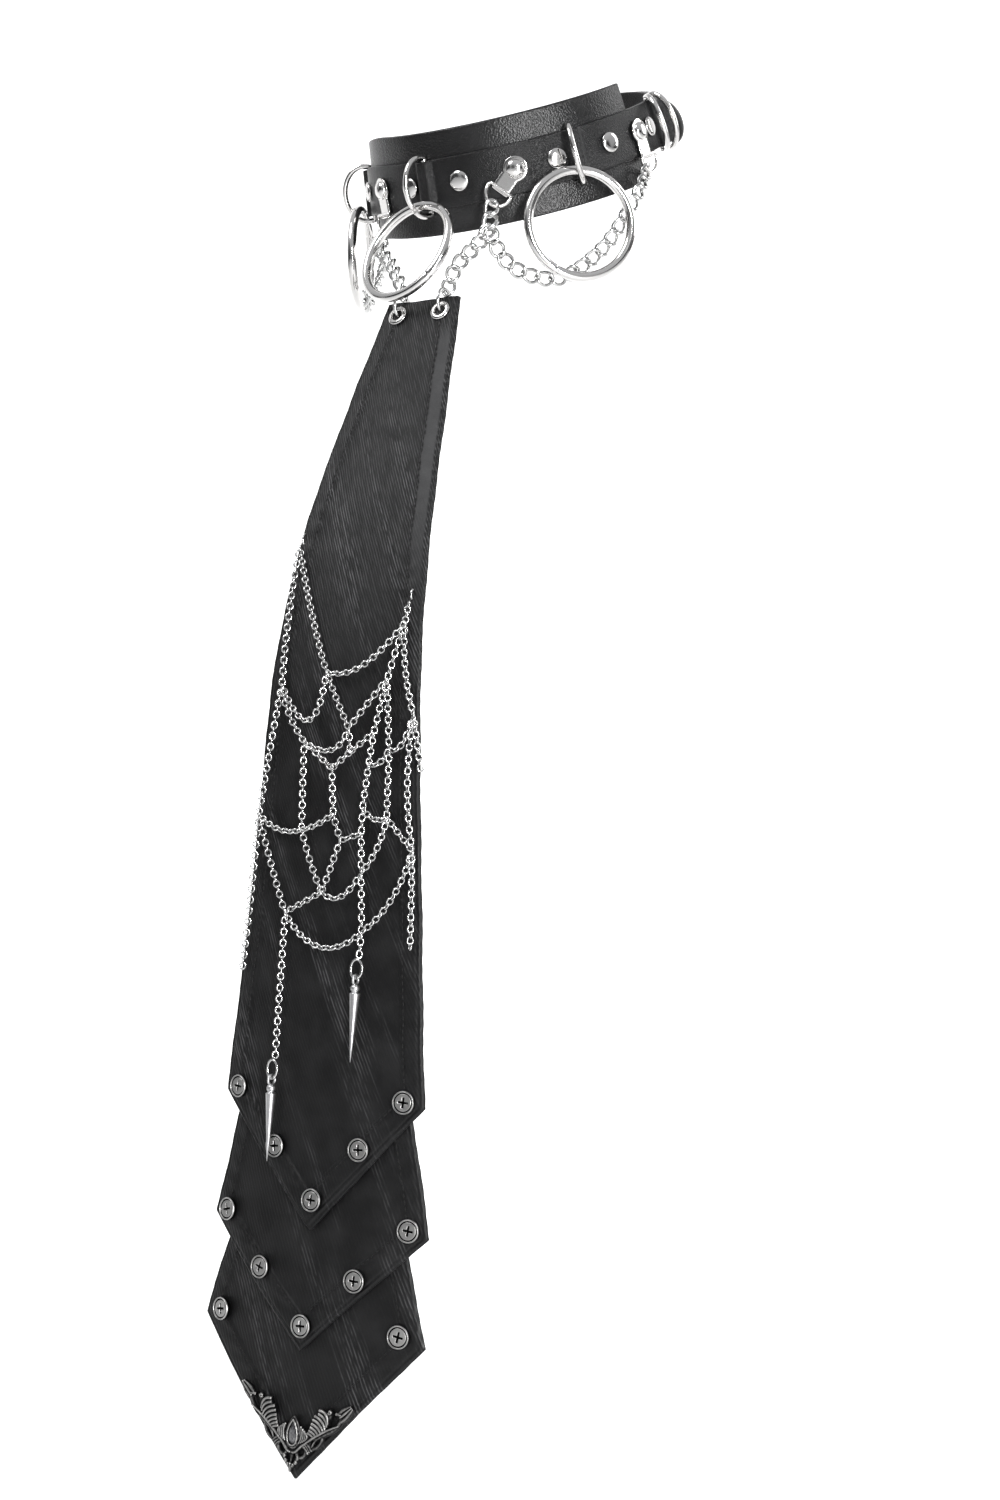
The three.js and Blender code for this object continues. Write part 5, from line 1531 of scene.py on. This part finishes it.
def mesh_values(items, name, width, kind=np.float32):
    """A property of a mesh's points or edges as one array."""
    values = np.empty(len(items) * width, dtype=kind)
    items.foreach_get(name, values)
    return values.reshape(-1, width)


def relief_of(mesh, seat, high):
    """Crests against hollows: the height over the seat, plus how far each point stands out of the mean of its
    neighbours, with that mean taken again and again along the edges to spread it."""
    places = mesh_values(mesh.vertices, "co", 3)
    first, second = mesh_values(mesh.edges, "vertices", 2, np.int32).T

    def gathered(to_first, to_second):
        return np.bincount(first, to_first, len(places)) + np.bincount(second, to_second, len(places))

    count = np.maximum(gathered(np.ones(len(first)), np.ones(len(first))), 1)
    height = (places / MM - seat[:, 3]) @ -seat[:, 1]
    around = height
    for _ in range(7):
        around = gathered(around[second], around[first]) / count
    return np.clip(0.62 * height / high + 2.2 * (height - around) - 0.2, 0, 1)


# %% Corner piece
def corner_shell(seat):
    """Both arms' ribbons, two small leaves on the middle line, and the two wires of the setting."""
    shell = Shell()
    for path, width, height in arm_ribbons():
        for mirror in [1, -1]:
            shell.add(moved(closed_sweep(ribbon(path * [mirror, 1], width, height)), seat))
    for path, widths, height in [
        (bezier((0, -0.6), (0, 1.4), (0, 3.0)), (0.5, 1.1, 0.4), 1.9),
        (bezier((0, 3.0), (0, 5.2), (0, 8.0)), (0.3, 0.9, 1.5), 1.4),
    ]:
        shell.add(moved(closed_sweep(ribbon(path, taper(path, *widths), height)), seat))
    for half, bottom, top, wire, floor in SETTING_WIRES:
        path = in_setting(teardrop(half, bottom, top), floor)
        shell.add(moved(wire_loop(path, (0, 1, 0), wire, 12), seat), ring=True)
    return shell


def add_corner(seat):
    piece = build("corner_filigree", corner_shell(seat), ANTIQUE, "corner_piece")
    mesh = melted(piece, MELT)
    relief = mesh.attributes.get("relief") or mesh.attributes.new("relief", "FLOAT", "POINT")
    relief.data.foreach_set("value", relief_of(mesh, seat, CORNER_RAISED).astype(np.float32))
    return piece


def add_stone(seat):
    """A teardrop dome: rings drawn in to the middle at a share s of the outline, 1.3 sqrt(1 - s^2.2) high."""
    outline = teardrop(2.25, -4.5, 5.0)
    share = np.linspace(0, 1, 24)[:, None]
    top = in_setting(outline * share[..., None], 0.8 + 1.3 * np.sqrt(np.clip(1 - share**2.2, 0, 1)))
    side = in_setting(outline, 0.4)[None]
    centre = side.mean(axis=1, keepdims=True) + 0 * side
    shell = Shell().add(moved(np.concatenate([top, side, centre]), seat))
    return build("stone", shell, STONE, "corner_stone")


corner_seat = swung(tie_seat(CORNER_ACROSS, CORNER_DROP, SEAT_GAP - 2 * LAYER_STEP), "y", CORNER_TURN)
print("corner faces:", len(add_corner(corner_seat).data.polygons))
print("stone faces:", len(add_stone(corner_seat).data.polygons))

# %% [markdown]
# The studio
#
# The photograph has a white background and soft light from large panels. A pale floor curves up into a pale
# wall, and three area lights and a bright sky give the metal its long soft reflections. Dark cards out of
# sight give it edges. The floor glows behind the object but not in front of it, or its light would grey the
# black leather.

# %% Floor and wall
FLOOR = -0.62
BEND = 0.5
BEND_START = 1.2
FLOOR_FRONT = -3.0
WALL_TOP = 3.0


def add_stage():
    """A floor, a quarter circle and a wall as one profile, carried straight across the view."""
    angle = np.linspace(0, np.pi / 2, 16)
    bend = np.stack([BEND_START + BEND * np.sin(angle), FLOOR + BEND * (1 - np.cos(angle))], axis=1)
    profile = np.concatenate([[[FLOOR_FRONT, FLOOR]], bend, [[BEND_START + BEND, WALL_TOP]]])[:, None]
    width = np.linspace(-4, 4, 3)[None, :, None]
    along = np.array([-np.sin(CAMERA_AZIMUTH), np.cos(CAMERA_AZIMUTH)])
    side = np.array([np.cos(CAMERA_AZIMUTH), np.sin(CAMERA_AZIMUTH)])
    flat = profile[..., :1] * along + width * side
    grid = np.concatenate([flat, np.broadcast_to(profile[..., 1:], flat.shape[:2] + (1,))], axis=-1)
    mesh = bpy.data.meshes.new("studio")
    mesh.from_pydata(grid.reshape(-1, 3), [], grid_faces(*grid.shape[:2]).tolist())
    smooth(mesh)
    paint = Material("pale studio", Roughness=0.9)
    paint.set("Base Color", (0.75, 0.75, 0.75, 1.0))
    x, y, _ = paint.axes(paint.place())
    behind = (x * float(along[0]) + y * float(along[1])).between(-0.2, 0.9)
    paint.set("Emission Color", paint.mix(behind, (0.02, 0.02, 0.02), (1.0, 1.0, 1.0)))
    paint.set("Emission Strength", 0.7)
    mesh.materials.append(paint.data)
    linked("studio", mesh)


add_stage()

# %% Lights
LIGHTS = {
    "key": {"place": (-0.55, -1.05, 1.15), "aim": (0, -0.05, -0.2), "size": (0.8, 0.8), "power": 20},
    "strip": {"place": (1.05, -0.9, -0.15), "aim": (0, 0, -0.05), "size": (0.1, 0.8), "power": 26},
    "back": {"place": (0.9, 0.7, 0.5), "aim": (0, 0, -0.1), "size": (0.5, 0.9), "power": 8},
}


def add_light(name, place, aim, size, power):
    """A rectangular area light that faces a point."""
    data = bpy.data.lights.new(name, "AREA")
    data.shape = "RECTANGLE"
    data.size, data.size_y = size
    data.energy = power
    light = linked(name, data)
    light.location = place
    light.rotation_euler = Vector(np.subtract(place, aim)).to_track_quat("Z", "Y").to_euler()


for name, light in LIGHTS.items():
    add_light(name, **light)
print("lights:", ", ".join(f"{name} {light['power']} W" for name, light in LIGHTS.items()))

# %% Sky
DARK_CARDS = [(-34, 20, 0.85), (-78, 7, 0.9), (-125, 12, 0.9), (14, 6, 0.7), (84, 8, 0.9), (128, 14, 0.9)]
CARD_EDGE = 9


class Sky(Material):
    """The world's own nodes, used through the same maths."""

    def __init__(self, name):
        self.data = bpy.data.worlds.new(name)
        self.data.use_nodes = True
        self.tree = self.data.node_tree
        self.shader = self.tree.nodes["Background"]

    def towards(self, direction, azimuth):
        """The cosine between a direction and a level one at an azimuth from the front."""
        angle = np.radians(azimuth)
        level = (np.sin(angle), -np.cos(angle), 0.0)
        return self.node("ShaderNodeVectorMath", {"operation": "DOT_PRODUCT"}, [direction, level], output=1)


def soft_sky():
    """Bright overhead, greyer below, with dark cards at a few azimuths that put dark lines in the metal."""
    sky = Sky("soft sky")
    direction = sky.node("ShaderNodeTexCoord", output="Generated")
    _, _, up = sky.axes(direction)
    value = 0.26 + 0.4 * up.between(-0.5, 0.9)
    low = 1.0 - up.between(0.25, 0.65)
    for azimuth, width, depth in DARK_CARDS:
        inner = np.cos(np.radians(width))
        outer = np.cos(np.radians(width + CARD_EDGE))
        card = sky.towards(direction, azimuth).between(outer, inner)
        value = value * (1.0 - depth * (card * low))
    sky.set("Color", (0.97, 0.98, 1.0, 1.0))
    sky.set("Strength", value)
    return sky.data


bpy.context.scene.world = soft_sky()
bpy.context.scene.view_settings.view_transform = "Standard"
print("dark cards:", len(DARK_CARDS))
